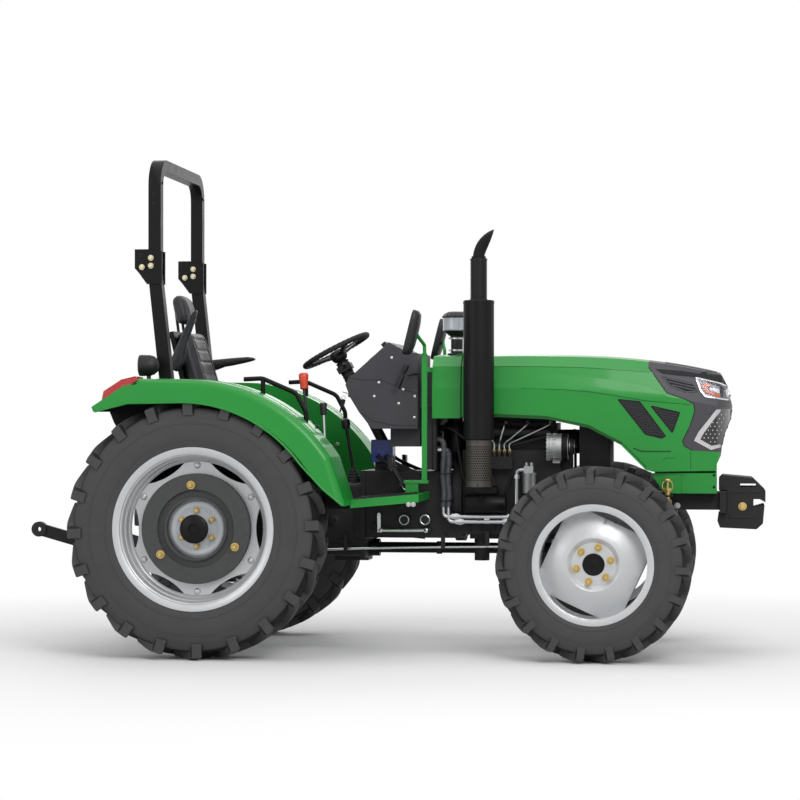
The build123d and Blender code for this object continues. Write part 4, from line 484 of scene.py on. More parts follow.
def lug(bm, radius, width, turn, way):
    """One bar of the tread, wrapped round the tyre from its middle to the shoulder, with a stepped end."""
    half, steps = width / 2, 9
    sections = []
    for k in range(steps):
        y, outline = lug_section(radius, half, k / (steps - 1))
        angles = [(turn + s / radius, r) for s, r in outline]
        sections.append([bm.verts.new((r * math.sin(phi), way * y, r * math.cos(phi))) for phi, r in angles])
    for near, far in zip(sections, sections[1:]):
        bridge(bm, near, far, closed=False)
    bm.faces.new(sections[0])
    last = sections[-1]
    for drop, out in LUG_STEPS:
        tip = []
        for v in last:
            r = math.hypot(v.co.x, v.co.z)
            new = max(min(r, radius * (1 - drop)), radius - LUG_HEIGHT - 62)
            tip.append(bm.verts.new((v.co.x * new / r, way * half * out, v.co.z * new / r)))
        bridge(bm, last, tip, closed=False)
        last = tip
    bm.faces.new(last[::-1])


def make_tyre(axle, side, centre, radius, width, bead, lugs):
    control = [Vector((y, r, 0)) for y, r in tyre_section(radius, width, bead)]
    half_run = [(p.x, p.y) for p in curve_through(control, 5)]
    tread = radius - LUG_HEIGHT
    bm = bmesh.new()
    turned(bm, (0, 0, 0), (0, 1, 0), [(-y, r) for y, r in reversed(half_run)] + half_run[1:], 144)
    for share in (0.30, 0.62):
        y, r = next(p for p in half_run if p[1] < bead + (tread - bead) * share)
        rib = [(0, r + 4), (3.5, r + 2.5), (3.5, r - 2.5), (0, r - 4)]
        for way in (-1, 1):
            turned(bm, (0, way * (y - 2), 0), (0, way, 0), rib, 120)
    for k in range(lugs):
        lug(bm, radius, width, turn_of(k, lugs), 1)
        lug(bm, radius, width, turn_of(k + 0.5, lugs), -1)
    bmesh.ops.translate(bm, verts=bm.verts, vec=centre)
    name = f"{axle}_tyre_{side}"
    tyre = piece(f"{name}_tread", bm, RUBBER, f"{axle}_wheel_{side}", smooth=32, replaces=name)
    # Faces low between the lugs take the darker groove finish: painted shade in the tread's recesses
    tyre.data.materials.append(GROOVE_SHADE)
    for face in tyre.data.polygons:
        out = math.hypot(face.center.x * 1000 + MID_X - centre[0], face.center.z * 1000 - centre[2])
        in_groove_shade = tread - 20 < out < tread + 16 and abs(face.normal.y) < 0.55
        face.material_index = 1 if in_groove_shade else 0


# Wheel hardware
RIM_WELL = [(112, 346), (110, 341), (104, 337), (70, 334), (64, 327), (60, 326), (34, 321), (28, 312),
            (23, 309)]
REAR_CAP = [(0, 62), (68, 62), (71, 67), (76, 67), (80, 62), (86, 50), (88, 24), (82, 20), (82, 0)]
REAR_PLATE = [(0, 132), (5, 132), (9, 126), (9, 104), (5, 98), (5, 60)]
FRONT_CAP = [(0, 51), (9.5, 51), (11, 48), (11, 44), (10, 40), (10, 16), (11, 13), (11, 0)]


def spots_round(x, y, z, radius, count, first):
    """Even spots round a wheel's axle, from a first angle in degrees."""
    turns = [math.radians(first) + turn_of(k, count) for k in range(count)]
    return [(x + radius * math.cos(t), y, z + radius * math.sin(t)) for t in turns]


def rear_hardware(side, way):
    wheel, out = f"rear_wheel_{side}", (0, way, 0)
    hub = (0, way * (REAR_Y + 22), REAR_RADIUS)
    weight_face = (0, way * (REAR_Y + 67), REAR_RADIUS)
    with made(f"rear_nuts_{side}", ZINC, wheel, smooth=30) as nuts:
        for spot in spots_round(*hub, 82.5, 6, 30):
            stud(nuts, spot, out, 24, 17, 10)
        for spot in spots_round(*weight_face, 203, 3, 96):
            stud(nuts, spot, out, 26, 15, 12)
    with made(f"rear_rim_well_{side}", SILVER, wheel, smooth=40) as well:
        turned(well, (0, way * REAR_Y, REAR_RADIUS), out, RIM_WELL, 96)
        for spot in spots_round(*hub, 292, 6, 30):
            turned(well, spot, out, [(-1, 15), (3, 15), (8, 11), (10, 5), (10, 0)], 24)
    with made(f"rear_hub_cap_{side}", BLACK_PAINT, wheel) as cap:
        turned(cap, hub, out, REAR_CAP, 48)
    with made(f"rear_hub_plate_{side}", DISC, wheel) as plate:
        turned(plate, hub, out, REAR_PLATE, 64)


def front_hardware(side, way):
    wheel, out = f"front_wheel_{side}", (0, way, 0)
    with made(f"front_nuts_{side}", ZINC, wheel, smooth=30) as nuts:
        for spot in spots_round(WHEELBASE, way * (FRONT_Y + 34), FRONT_RADIUS, 80, 6, 14):
            stud(nuts, spot, out, 24, 16, 9)
    with made(f"front_hub_cap_{side}", BLACK_PAINT, wheel) as cap:
        turned(cap, (WHEELBASE, way * (FRONT_Y + 26), FRONT_RADIUS), out, FRONT_CAP, 48)


for side, way in SIDES:
    make_tyre("rear", side, (0, way * REAR_Y, REAR_RADIUS), REAR_RADIUS, REAR_WIDTH, REAR_BEAD, REAR_LUGS)
    make_tyre("front", side, (WHEELBASE, way * FRONT_Y, FRONT_RADIUS), FRONT_RADIUS, FRONT_WIDTH, FRONT_BEAD,
              FRONT_LUGS)
    rear_hardware(side, way)
    front_hardware(side, way)


# Pieces laid on the CAD surfaces
def skin_of(*names):
    """Search tree over CAD nodes, in the source's millimetres."""
    points, faces = [], []
    for name in names:
        base = len(points)
        place = nodes[name].matrix_world
        points += [(place @ v.co) * 1000 + Vector((MID_X, 0, 0)) for v in nodes[name].data.vertices]
        faces += [[base + i for i in p.vertices] for p in nodes[name].data.polygons]
    return BVHTree.FromPolygons(points, faces)


def cast(tree, start, ray):
    """Point and outward normal where a ray first meets a surface."""
    start, ray = Vector(start), Vector(ray)
    hit, normal, _, _ = tree.ray_cast(start, ray)
    if hit is None:
        hit, normal, _, _ = tree.find_nearest(start + ray * 650)
    return hit, -normal if normal.dot(ray) > 0 else normal


def from_side(tree, way):
    """Surface seen from one side, by X and Z."""
    return lambda x, z: cast(tree, (x, way * 900, z), (0, -way, 0))


def from_front(tree):
    """Surface seen from the front, by Y and Z."""
    return lambda y, z: cast(tree, (3000, y, z), BACK)


def from_rear(tree):
    """Surface seen from behind, by Y and Z."""
    return lambda y, z: cast(tree, (-1500, y, z), AHEAD)


def from_top(tree):
    """Surface seen from above, by X and Y."""
    return lambda x, y: cast(tree, (x, y, 2400), (0, 0, -1))


def panel(bm, outline, look, lift, depth=4.0, cell=14.0):
    """Thin skin over the part of a surface inside an outline; the lift may vary over it."""
    flat = bmesh.new()
    flat.faces.new([flat.verts.new((a, b, 0)) for a, b in outline])
    for axis in (0, 1):
        low, high = min(p[axis] for p in outline), max(p[axis] for p in outline)
        way = Vector((axis == 0, axis == 1, 0))
        for k in range(math.ceil(low / cell), math.ceil(high / cell)):
            geom = flat.verts[:] + flat.edges[:] + flat.faces[:]
            bmesh.ops.bisect_plane(flat, geom=geom, dist=0.02, plane_co=way * k * cell, plane_no=way)
    top, foot = {}, {}
    for v in flat.verts:
        hit, normal = look(v.co.x, v.co.y)
        rise = lift(v.co.x, v.co.y) if callable(lift) else lift
        top[v] = bm.verts.new(hit + normal * rise)
        foot[v] = bm.verts.new(hit + normal * (rise - depth))
    for face in flat.faces:
        bm.faces.new([top[v] for v in face.verts])
        bm.faces.new([foot[v] for v in reversed(face.verts)])
    for edge in flat.edges:
        if edge.is_boundary:
            a, b = edge.verts
            bm.faces.new([top[a], top[b], foot[b], foot[a]])
    flat.free()


def even_steps(points, step):
    """Points at even steps along a polyline, with the direction at each."""
    run = []
    for a, b in zip(points, points[1:]):
        a, b = Vector(a), Vector(b)
        count = max(1, round((b - a).length / step))
        run += [(a.lerp(b, k / count), (b - a).normalized()) for k in range(count)]
    return run + [(Vector(points[-1]), (Vector(points[-1]) - Vector(points[-2])).normalized())]


def ribbon(bm, points, look, width, lift, depth=3.0, step=14.0):
    """Flat strip of a width along a line on a surface."""
    run = even_steps(points, step)
    rows = []
    for k, (spot, way) in enumerate(run):
        if 0 < k < len(run) - 1:
            way = (way + run[k - 1][1]).normalized()
        off = Vector((-way.y, way.x)) * width / 2
        row = []
        for end in (spot + off, spot - off):
            hit, normal = look(end.x, end.y)
            row += [bm.verts.new(hit + normal * lift), bm.verts.new(hit + normal * (lift - depth))]
        rows.append([row[0], row[2], row[3], row[1]])
    for near, far in zip(rows, rows[1:]):
        bridge(bm, near, far)
    for row in (rows[0], rows[-1]):
        bm.faces.new(row)


def rim_of(bm, outline, *settings):
    """Strip all the way round an outline."""
    ribbon(bm, outline + outline[:1], *settings)


def inset(outline, amount):
    """Outline drawn smaller by a margin."""
    area = sum(a[0] * b[1] - b[0] * a[1] for a, b in zip(outline, outline[1:] + outline[:1]))
    turn = 1 if area > 0 else -1
    result = []
    for k in range(len(outline)):
        a, b, c = (Vector(outline[(k + s) % len(outline)]) for s in (-1, 0, 1))
        first, second = (b - a).normalized(), (c - b).normalized()
        inner = Vector((-first.y, first.x)) * turn, Vector((-second.y, second.x)) * turn
        bisector = (inner[0] + inner[1]).normalized()
        result.append(tuple(b + bisector * amount / max(0.35, bisector.dot(inner[0]))))
    return result


def hatch(outline, angle, pitch):
    """Parallel lines at an angle, cut off at an outline."""
    turn = math.radians(angle)
    run, off = Vector((math.cos(turn), math.sin(turn))), Vector((-math.sin(turn), math.cos(turn)))
    heights = [Vector(p).dot(off) for p in outline]
    lines = []
    for k in range(math.ceil(min(heights) / pitch), math.floor(max(heights) / pitch) + 1):
        level, cuts = k * pitch, []
        for p, q in zip(outline, outline[1:] + outline[:1]):
            p, q = Vector(p), Vector(q)
            hp, hq = p.dot(off) - level, q.dot(off) - level
            if hp * hq < 0:
                cuts.append(p.lerp(q, hp / (hp - hq)).dot(run))
        cuts.sort()
        pairs = [(a, b) for a, b in zip(cuts[::2], cuts[1::2]) if b - a > 4]
        lines += [(run * a + off * level, run * b + off * level) for a, b in pairs]
    return lines


def wires(bm, outline, look, angles, pitch, radius, lift):
    """Lattice of round wires on a surface inside an outline."""
    for angle in angles:
        for line in hatch(outline, angle, pitch):
            spots = [look(s.x, s.y) for s, _ in even_steps(line, 16)]
            tube(bm, [hit + normal * lift for hit, normal in spots], radius, 6, 1)


def inside(outline, x, y):
    """Whether a point lies in an outline."""
    odd = False
    for (ax, ay), (bx, by) in zip(outline, outline[1:] + outline[:1]):
        if (ay > y) != (by > y) and x < ax + (y - ay) * (bx - ax) / (by - ay):
            odd = not odd
    return odd


# Hood and nose: lines and outlines on the hood's side, by X and Z
TRIM_LINE = [(2066, 1352), (2084, 1329), (2154, 1230), (2238, 1202), (2278, 1179), (2282, 1144), (2261, 1077),
             (2226, 1006), (2233, 983), (2273, 961)]
LOUVRE = [(2129, 1312), (2270, 1279), (2297, 1237), (2240, 1235), (2168, 1266)]
BROW = [(2100, 1343), (2229, 1334), (2302, 1321), (2335, 1337), (2387, 1324), (2417, 1304), (2424, 1270),
        (2387, 1281), (2288, 1306), (2136, 1320)]
HEADLAMP = [(2287, 1301), (2407, 1272), (2430, 1262), (2440, 1198), (2398, 1203), (2331, 1214), (2309, 1240)]
HEADLAMP_BEZEL = [(2424, 1266), (2405, 1273), (2288, 1301), (2310, 1241), (2331, 1215), (2398, 1204),
                  (2436, 1199)]
TURN_LAMP = [(2356, 1266), (2320, 1270), (2336, 1237), (2398, 1217)]
DAY_LAMP = [(2350, 1257), (2396, 1249), (2396, 1228), (2352, 1243)]
LAMP_CELL = [(2402, 1262), (2412, 1258), (2412, 1212), (2402, 1214)]
CORNER_BEZEL = [(2382, 1153), (2400, 1154), (2398, 1143), (2322, 1040), (2308, 1013), (2360, 983),
                (2398, 990), (2400, 976), (2358, 963), (2278, 1007), (2298, 1046)]
CORNER_LENS = [(2398, 1146), (2436, 1134), (2436, 1112), (2404, 1035), (2396, 988), (2364, 982), (2306, 1012),
               (2318, 1040)]
GRILLES = [[(2081, 1169), (2212, 1139), (2178, 1046)],
           [(1927, 1200), (2026, 1190), (2146, 1029), (2127, 1020), (2053, 1039)]]
CREASE = [(1473, 1253), (1658, 1249), (1792, 1238), (1889, 1224), (1960, 1212)]
SWAGE = CREASE + [(2052, 1196), (2150, 1186), (2150, 1215), (2060, 1262), (1880, 1296), (1660, 1318),
                  (1473, 1322)]
HOOD_EDGE = [(1200, 1126), (1362, 1126), (1587, 1117), (1788, 1075), (1938, 996), (2054, 880)]

# Painted crease shadows, painted shade along the lower lip and in the folds, and one dark seam, on the hood's
# side: points, width and lift
HOOD_SHADE_LINES = [
    (CREASE + [(2052, 1194), (2174, 1184), (2262, 1176)], 3.0, 0.5),
    ([(1196, 1357), (1490, 1356), (1741, 1351), (1948, 1338), (2070, 1328)], 2.2, 0.5),
    (HOOD_EDGE, 13, 1.6),
    ([(1997, 972), (2039, 957), (2173, 957)], 7, 0.8),
    ([(2264, 958), (2264, 872)], 2.5, 0.6),
    ([(2135, 913), (2150, 926), (2195, 926)], 3, 0.6),
]

# The nose's mouth by Y and Z, and its crown by X and Y
MOUTH = [(-74, 990), (74, 990), (74, 1150), (-74, 1150)]
CROWN = [(2140, -120), (2330, -95), (2385, -60), (2385, 60), (2330, 95), (2140, 120)]


def nose_grilles(side, look):
    with made(f"louvre_slats_{side}", TRIM, "hood", bevel=0.8) as slats:
        for line in hatch(inset(LOUVRE, 5), -13, 12.5):
            ribbon(slats, line, look, 5.5, 4.0, 4)
        rim_of(slats, LOUVRE, look, 6, 3.0, 4)
    with made(f"nose_black_{side}", BLACK_MESH_AND_SHADE, "hood") as black:
        panel(black, LOUVRE, look, 0.8)
        panel(black, BROW, look, 1.4)
        ribbon(black, TRIM_LINE, look, 4, 0.6)
        for outline in GRILLES:
            rim_of(black, outline, look, 6, 2.4, 4)
    with made(f"grille_lattice_{side}", GRILLE_WIRE, "hood") as lattice:
        for outline in GRILLES:
            wires(lattice, inset(outline, 3), look, (52, -8), 11, 1.7, 1.2)


def headlamp(side, look):
    with made(f"headlamp_bezel_{side}", CHROME, "hood", bevel=0.8) as bezel:
        ribbon(bezel, HEADLAMP_BEZEL, look, 6, 4.0, 5)
    with made(f"turn_lamp_{side}", ORANGE, "hood", bevel=1.5) as amber:
        ribbon(amber, TURN_LAMP, look, 13, 5.0, 6)
    with made(f"day_lamp_{side}", WHITE_LED, "hood", bevel=1.5) as white:
        panel(white, DAY_LAMP, look, 4.0, 5)
    with made(f"lamp_cells_{side}", BLACK_MESH_AND_SHADE, "hood", "lamp") as cells:
        panel(cells, LAMP_CELL, look, 5.0, 6)
        ribbon(cells, [(2340, 1282), (2400, 1266)], look, 6, 4.5, 5)
    with made(f"headlamp_cover_{side}", LENS, "hood") as cover:
        panel(cover, inset(HEADLAMP, 5), look, 7.0, 1.5)


def corner_lamp(side, look):
    with made(f"corner_bezel_{side}", PALE_BEZEL, "hood", bevel=1.2) as bezel:
        panel(bezel, CORNER_BEZEL, look, 4.5, 6)
    field = inset(CORNER_LENS, 5)
    with made(f"corner_dots_{side}", WHITE_LED, "hood") as dots:
        for row in range(9):
            for col in range(8):
                x, z = 2306 + col * 20 + (row % 2) * 10, 984 + row * 18
                if inside(field, x, z):
                    turned(dots, *look(x, z), [(-1, 2.6), (1.2, 2.6), (2.2, 1.6), (2.6, 0)], 8)


def swell(x, z):
    """Rise of the hood's swage, which fades above and below its crease and at its rear end."""
    crease = CREASE[-1][1]
    for (ax, az), (bx, bz) in zip(CREASE, CREASE[1:]):
        if ax <= x <= bx:
            crease = az + (bz - az) * (x - ax) / (bx - ax)
            break
    ends = min(1.0, max(0.0, (x - CREASE[0][0]) / 220))
    return 0.2 + 5.0 * ends * max(0.0, 1 - abs(z - crease - 2) / 75)


def hood_side(side, look):
    with made(f"hood_swage_{side}", GREEN, "hood", smooth=50) as green:
        panel(green, SWAGE, look, swell, 6.0, 18)
    # Dark green strips: painted shade along the creases, lip and folds, and one seam line
    with made(f"hood_shade_lines_{side}", GREEN_SHADE_AND_SEAM, "hood") as dark:
        for points, width, lift in HOOD_SHADE_LINES:
            ribbon(dark, points, look, width, lift)


def nose_front(shell):
    look = from_front(shell)
    with made("front_mesh", BLACK_MESH_AND_SHADE, "hood") as mesh:
        panel(mesh, MOUTH, look, 0.8)
    with made("front_bars", GRILLE_WIRE, "hood", bevel=0.7) as bars:
        wires(bars, inset(MOUTH, 3), look, (45, -45), 13, 1.8, 1.5)
        rim_of(bars, MOUTH, look, 8, 3.0, 4)
        for z in (1030, 1070, 1110):
            ribbon(bars, [(-72, z), (72, z)], look, 9, 5.0, 5)
    with made("nose_chrome", CHROME, "hood") as chrome:
        for y in (-100, -148, 100, 148):
            turned(chrome, *look(y, 1234), [(-3, 21), (5, 21), (6.5, 18), (2, 15), (5, 9), (6, 0)], 28)
        ribbon(chrome, [(-78, 1186), (78, 1186)], look, 10, 3.0)
    with made("nose_crown", BLACK_PLASTIC, "hood", smooth=50) as crown:
        panel(crown, CROWN, from_top(shell), 2.0, 4)


hood_skin = skin_of("hood", "nose_trim", "nose_lamps", "side_grilles")
for side, way in SIDES:
    hood_look = from_side(hood_skin, way)
    for dress in (nose_grilles, headlamp, corner_lamp, hood_side):
        dress(side, hood_look)
nose_front(hood_skin)


# Exhaust, air intake and mirrors
EXHAUST = (1282.0, -412.0)
INTAKE_X = 1135.0
HOLE_CELL = ((-1, -1), (0, -1), (1, -1), (1, 0), (1, 1), (0, 1), (-1, 1), (-1, 0))
INTAKE_PIPE = [(1416, 46), (1424, 46), (1427, 40), (1428, 29), (1500, 29), (1503, 33), (1510, 33), (1512, 40),
               (1519, 46), (1524, 55), (1534, 66)]
INTAKE_LID = [(1597, 69.5), (1599, 72), (1606, 72), (1610, 66), (1622, 50), (1628, 30), (1628, 0)]
INTAKE_BOWL = [(1534, 60), (1535, 66), (1540, 68.5), (1548, 67), (1592, 68.5), (1597, 69), (1598, 62)]
# Rings of the mirror's shell: width, height, squareness and depth
MIRROR_SHELL = [(124, 198, 4.5, -17), (138, 212, 4.5, -20), (140, 214, 4.5, -14), (136, 208, 4.2, 2),
                (116, 184, 3.6, 14), (76, 130, 3.0, 20), (20, 40, 2.4, 22)]
MIRROR_GLASS = [(120, 194, 4.5, -17.5), (60, 97, 3.0, -18.2)]
MIRROR_BACK, MIRROR_UP = Vector((0.97, 0, -0.24)).normalized(), Vector((0.24, 0, 0.97)).normalized()


def perforated(bm, radius, low, high, around, margin):
    """Tube of sheet with staggered round holes between plain ends."""
    def spot(turn, z):
        return bm.verts.new((EXHAUST[0] + radius * math.cos(turn), EXHAUST[1] + radius * math.sin(turn), z))

    pitch = turn_of(1, around)
    rows = round((high - low - 2 * margin) / 11)
    height = (high - low - 2 * margin) / rows
    hole = 0.36 * min(height, pitch * radius)
    for row in range(rows):
        z = low + margin + (row + 0.5) * height
        for k in range(around):
            turn = (k + 0.5 * (row % 2)) * pitch
            outer, inner = [], []
            for a, b in HOLE_CELL:
                outer.append(spot(turn + a * pitch / 2, z + b * height / 2))
                reach = hole / math.hypot(a, b)
                inner.append(spot(turn + a * reach / radius, z + b * reach))
            bridge(bm, outer, inner)
    for z0, z1 in ((low, low + margin), (high - margin, high)):
        turned(bm, (*EXHAUST, 0), UP, [(z0, radius), (z1, radius)], 2 * around)


def exhaust_guards():
    # Dark sleeves inside the perforated guards: painted shade seen through their holes
    with made("guard_shade_sleeves", BLACK_MESH_AND_SHADE, slot="black_paint") as shade_sleeves:
        for name, surface, radius, low, high, around, margin, node in (
                ("lower_guard", HOT_GUARD, 60.0, 792, 1011, 34, 26, "exhaust_guards"),
                ("tail_guard", GUARD, 39.4, 1664, 1858, 24, 8, None)):
            turned(shade_sleeves, (*EXHAUST, 0), UP, [(low + 1, radius - 3), (high - 1, radius - 3)], 48)
            with made(name, surface, smooth=50, replaces=node) as guard:
                perforated(guard, radius, low, high, around, margin)
                for z in (low, high - 5):
                    collar(guard, (*EXHAUST, z), UP, radius, radius + 1.6, 5)


def exhaust_bands():
    with made("exhaust_bands", BLACK_PAINT) as bands:
        for z in (1016, 1648):
            collar(bands, (*EXHAUST, z), UP, 71, 73.4, 10, 64)
        brick(bands, (1250, 1314), (-338, -318), (1648, 1658))
        collar(bands, (*EXHAUST, 1860), UP, 27, 34, 9)
        brick(bands, (1276, 1288), (-452, -440), (1858, 1872))
    turn = math.radians(-62)
    x, y = EXHAUST[0] + 72 * math.cos(turn), EXHAUST[1] + 72 * math.sin(turn)
    with made("muffler_seam", BLACK_PAINT) as seam:
        tube(seam, [(x, y, z) for z in (1024, 1300, 1650)], 1.4, 6, 1)


def air_intake():
    base = (INTAKE_X, 0, 0)
    with made("intake_stack", BLACK_PLASTIC, slot="black_paint", replaces="precleaner") as stack:
        turned(stack, base, UP, INTAKE_PIPE, 48)
        turned(stack, base, UP, INTAKE_LID, 48)
        for k in range(16):
            c, s = math.cos(turn_of(k, 16)), math.sin(turn_of(k, 16))
            rib = [(INTAKE_X + r * c, r * s, z) for r, z in ((66, 1610), (52, 1620), (34, 1626))]
            tube(stack, rib, 2.2, 6, 2)
        turned(stack, (INTAKE_X, 0, 1612), UP, [(0, 6), (15, 6), (15, 0)], 12)
    with made("intake_bowl", BOWL) as bowl:
        turned(bowl, base, UP, INTAKE_BOWL, 56)
    with made("intake_clamps", STEEL, bevel=0.5) as clamps:
        for z in (1436, 1494):
            collar(clamps, (INTAKE_X, 0, z), UP, 29, 31, 9, 40)
            brick(clamps, (INTAKE_X - 40, INTAKE_X - 28), (-5, 5), (z, z + 9))


def mirror_ring(centre, width, height, corner, depth):
    """Rounded oblong across a mirror, at a depth from its middle."""
    power = 2 / corner
    ring = []
    for k in range(40):
        c, s = math.cos(turn_of(k, 40)), math.sin(turn_of(k, 40))
        a = math.copysign(abs(c) ** power, c) * width / 2
        b = math.copysign(abs(s) ** power, s) * height / 2
        ring.append(Vector(centre) + Vector((0, a, 0)) + MIRROR_UP * b + MIRROR_BACK * depth)
    return ring


def mirror(side, way):
    centre = (990, way * 550, 1508)
    node = "mirrors" if side == "right" else None
    with made(f"mirror_shell_{side}", BLACK_PLASTIC, smooth=50, replaces=node) as shell:
        lofted(shell, [mirror_ring(centre, *ring) for ring in MIRROR_SHELL])
    with made(f"mirror_glass_{side}", MIRROR, smooth=50) as glass:
        edge, middle = ([glass.verts.new(p) for p in mirror_ring(centre, *ring)] for ring in MIRROR_GLASS)
        bridge(glass, edge, middle)
        glass.faces.new(middle)
    with made(f"mirror_arm_{side}", GREEN) as arm:
        tube(arm, [(1028, way * 420, 1398), (1028, way * 420, 1440), (1026, way * 428, 1458),
                   (1012, way * 500, 1486), (1006, way * 548, 1505)], 8.5, 12, 5)
        turned(arm, (1028, way * 420, 1402), UP, [(0, 13), (14, 13), (16, 9)], 20)
        turned(arm, (1008, way * 550, 1508), (-0.97, 0, 0.24), [(-4, 14), (6, 14), (10, 10), (10, 0)], 20)


exhaust_guards()
exhaust_bands()
air_intake()
for side, way in SIDES:
    mirror(side, way)


# Seat and armrests, swollen by a short cloth simulation
CLOTH_FRAMES = 20
SEAT_LEAN = math.radians(13.5)
SEAT_UP = (-math.sin(SEAT_LEAN), 0, math.cos(SEAT_LEAN))
SEAT_OUT = (math.cos(SEAT_LEAN), 0, math.sin(SEAT_LEAN))
ACROSS = (0, 1, 0)
ARM_SIDE = [(-165, 1332), (-218, 1335), (-222, 1372), (-200, 1398), (60, 1422), (96, 1416), (92, 1398),
            (-60, 1366)]
ARM_PIVOT = (-194.0, 1362.0)


def evaluated(obj):
    """Mesh of an object with its modifiers."""
    graph = bpy.context.evaluated_depsgraph_get()
    return bpy.data.meshes.new_from_object(obj.evaluated_get(graph), depsgraph=graph)


def blown(pad, cap):
    """Mesh of a closed cloth under inner pressure; no point moves by more than the cap, in millimetres."""
    scene = bpy.context.scene
    cloth = pad.modifiers.new("cloth", "CLOTH")
    cloth.settings.use_pressure = True
    cloth.settings.uniform_pressure_force = 4.0
    cloth.settings.effector_weights.gravity = 0
    cloth.settings.quality = 5
    cloth.point_cache.frame_start = 1
    cloth.point_cache.frame_end = CLOTH_FRAMES
    for step in range(1, CLOTH_FRAMES + 1):
        scene.frame_set(step)
    soft = evaluated(pad)
    for old, new in zip(pad.data.vertices, soft.vertices):
        move = new.co - old.co
        if move.length > cap / 1000:
            new.co = old.co + move.normalized() * cap / 1000
    scene.frame_set(1)
    return soft


def puffed(bm, cap):
    """Closed mesh in even cells, blown up by up to the cap and smoothed."""
    bm.transform(TO_ROW)
    mesh = bpy.data.meshes.new("pad")
    bm.to_mesh(mesh)
    bm.free()
    pad = bpy.data.objects.new("pad", mesh)
    bpy.context.scene.collection.objects.link(pad)
    cells = pad.modifiers.new("cells", "REMESH")
    cells.mode = "VOXEL"
    cells.voxel_size = 0.006
    start = evaluated(pad)
    pad.modifiers.clear()
    pad.data = start
    result = bmesh.new()
    result.from_mesh(blown(pad, cap))
    result.transform(TO_ROW.inverted())
    bpy.data.objects.remove(pad)
    for _ in range(3):
        bmesh.ops.smooth_vert(result, verts=result.verts, factor=0.4, use_axis_x=True, use_axis_y=True,
                              use_axis_z=True)
    return result


def cushion(name, centre, axes, half, corner, taper, sewn):
    """Padded block in its own axes (across, along, out) with sewn channels pressed into its face."""
    bm = bmesh.new()
    bmesh.ops.create_cube(bm, size=2)
    bmesh.ops.subdivide_edges(bm, edges=bm.edges, cuts=15, use_grid_fill=True)
    for v in bm.verts:
        p = Vector([c * h for c, h in zip(v.co, half)])
        core = Vector([max(corner - h, min(h - corner, c)) for c, h in zip(p, half)])
        off = p - core
        p = core + off.normalized() * corner if off.length > 1e-6 else p
        wide, thick = taper(p.y / half[1])
        p = Vector((p.x * wide, p.y, (p.z + half[2]) * thick - half[2]))
        v.co = Vector(centre) + sum((Vector(a) * c for a, c in zip(axes, p)), Vector())
    bm = puffed(bm, 9.0)
    across, lengthwise, out = (Vector(a) for a in axes)
    for v in bm.verts:
        local = v.co - Vector(centre)
        a, b, c = local.dot(across), local.dot(lengthwise), local.dot(out)
        if c > 0:
            v.co -= out * sewn(a, b)
        else:
            pinch = 2.5 * math.exp(-((c + half[2] * 0.5) / 3.5) ** 2)
            v.co -= (across * a + lengthwise * b).normalized() * pinch
    pad = piece(name, bm, LEATHER, smooth=80, subdivide=1)
    return pad


def groove(distance, depth, width):
    return depth * math.exp(-(distance / width) ** 2)


def seat_sewing(a, b):
    cross = sum(groove(b - s, 5.0, 6) for s in (-95, -35, 25, 85)) * (abs(a) < 142)
    return cross + groove(abs(a) - 146, 8.0, 8) + 6 * math.exp(-((a / 95) ** 2 + ((b + 20) / 80) ** 2))


def back_sewing(a, b):
    cross = sum(groove(b - s, 5.0, 6) for s in (-110, -50, 10, 70, 125)) * (abs(a) < 128)
    return cross + groove(abs(a) - 132, 8.0, 8) + 7 * math.exp(-(a / 90) ** 2)


def head_sewing(a, b):
    return groove(abs(a) - 74, 5.0, 6) + groove(b + 46, 4.0, 5)


def on_back(rise, forward):
    """Point on the leaning back of the seat."""
    return (-118 + SEAT_UP[0] * rise + SEAT_OUT[0] * forward, 0,
            1100 + SEAT_UP[2] * rise + SEAT_OUT[2] * forward)


def seat():
    back_axes = (ACROSS, SEAT_UP, SEAT_OUT)
    base = cushion("seat_cushion", (65, 0, 1126), (ACROSS, AHEAD, UP), (217, 162, 39), 34,
                   lambda t: (1 - 0.04 * max(0, t) ** 2, 1.0), seat_sewing)
    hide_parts("seat_pads")
    cushion("seat_back", on_back(266, 37), back_axes, (212, 174, 33), 30,
            lambda t: (1 - 0.10 * max(0, t) ** 2, 1.08 - 0.14 * t), back_sewing)
    cushion("head_rest", on_back(548, 36), back_axes, (118, 73, 33), 32,
            lambda t: (1 - 0.16 * max(0, t) ** 2, 1 - 0.18 * max(0, t) ** 2), head_sewing)


def armrest(side, way, lift):
    """Padded arm, raised about its pivot by an angle in degrees."""
    c, s = math.cos(math.radians(lift)), math.sin(math.radians(lift))
    px, pz = ARM_PIVOT
    bm = bmesh.new()
    prism(bm, inset(ARM_SIDE, 4), way * 255, way * 297)
    bm = puffed(bm, 6.0)
    for v in bm.verts:
        dx, dz = v.co.x - px, v.co.z - pz
        v.co = Vector((px + dx * c - dz * s, v.co.y, pz + dx * s + dz * c))
    pad = piece(f"armrest_pad_{side}", bm, LEATHER, f"armrest_{side}", smooth=80, subdivide=1)
    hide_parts(f"armrest_{side}")
    with made(f"armrest_boss_{side}", BLACK_PLASTIC, f"armrest_{side}") as boss:
        for face, out in ((way * 302, way), (way * 250, -way)):
            turned(boss, (px, face - out * 6, pz), (0, out, 0), [(0, 17), (6, 17), (7.5, 15), (7.5, 0)], 24)


seat()
armrest("right", -1, 60)
armrest("left", 1, 0)


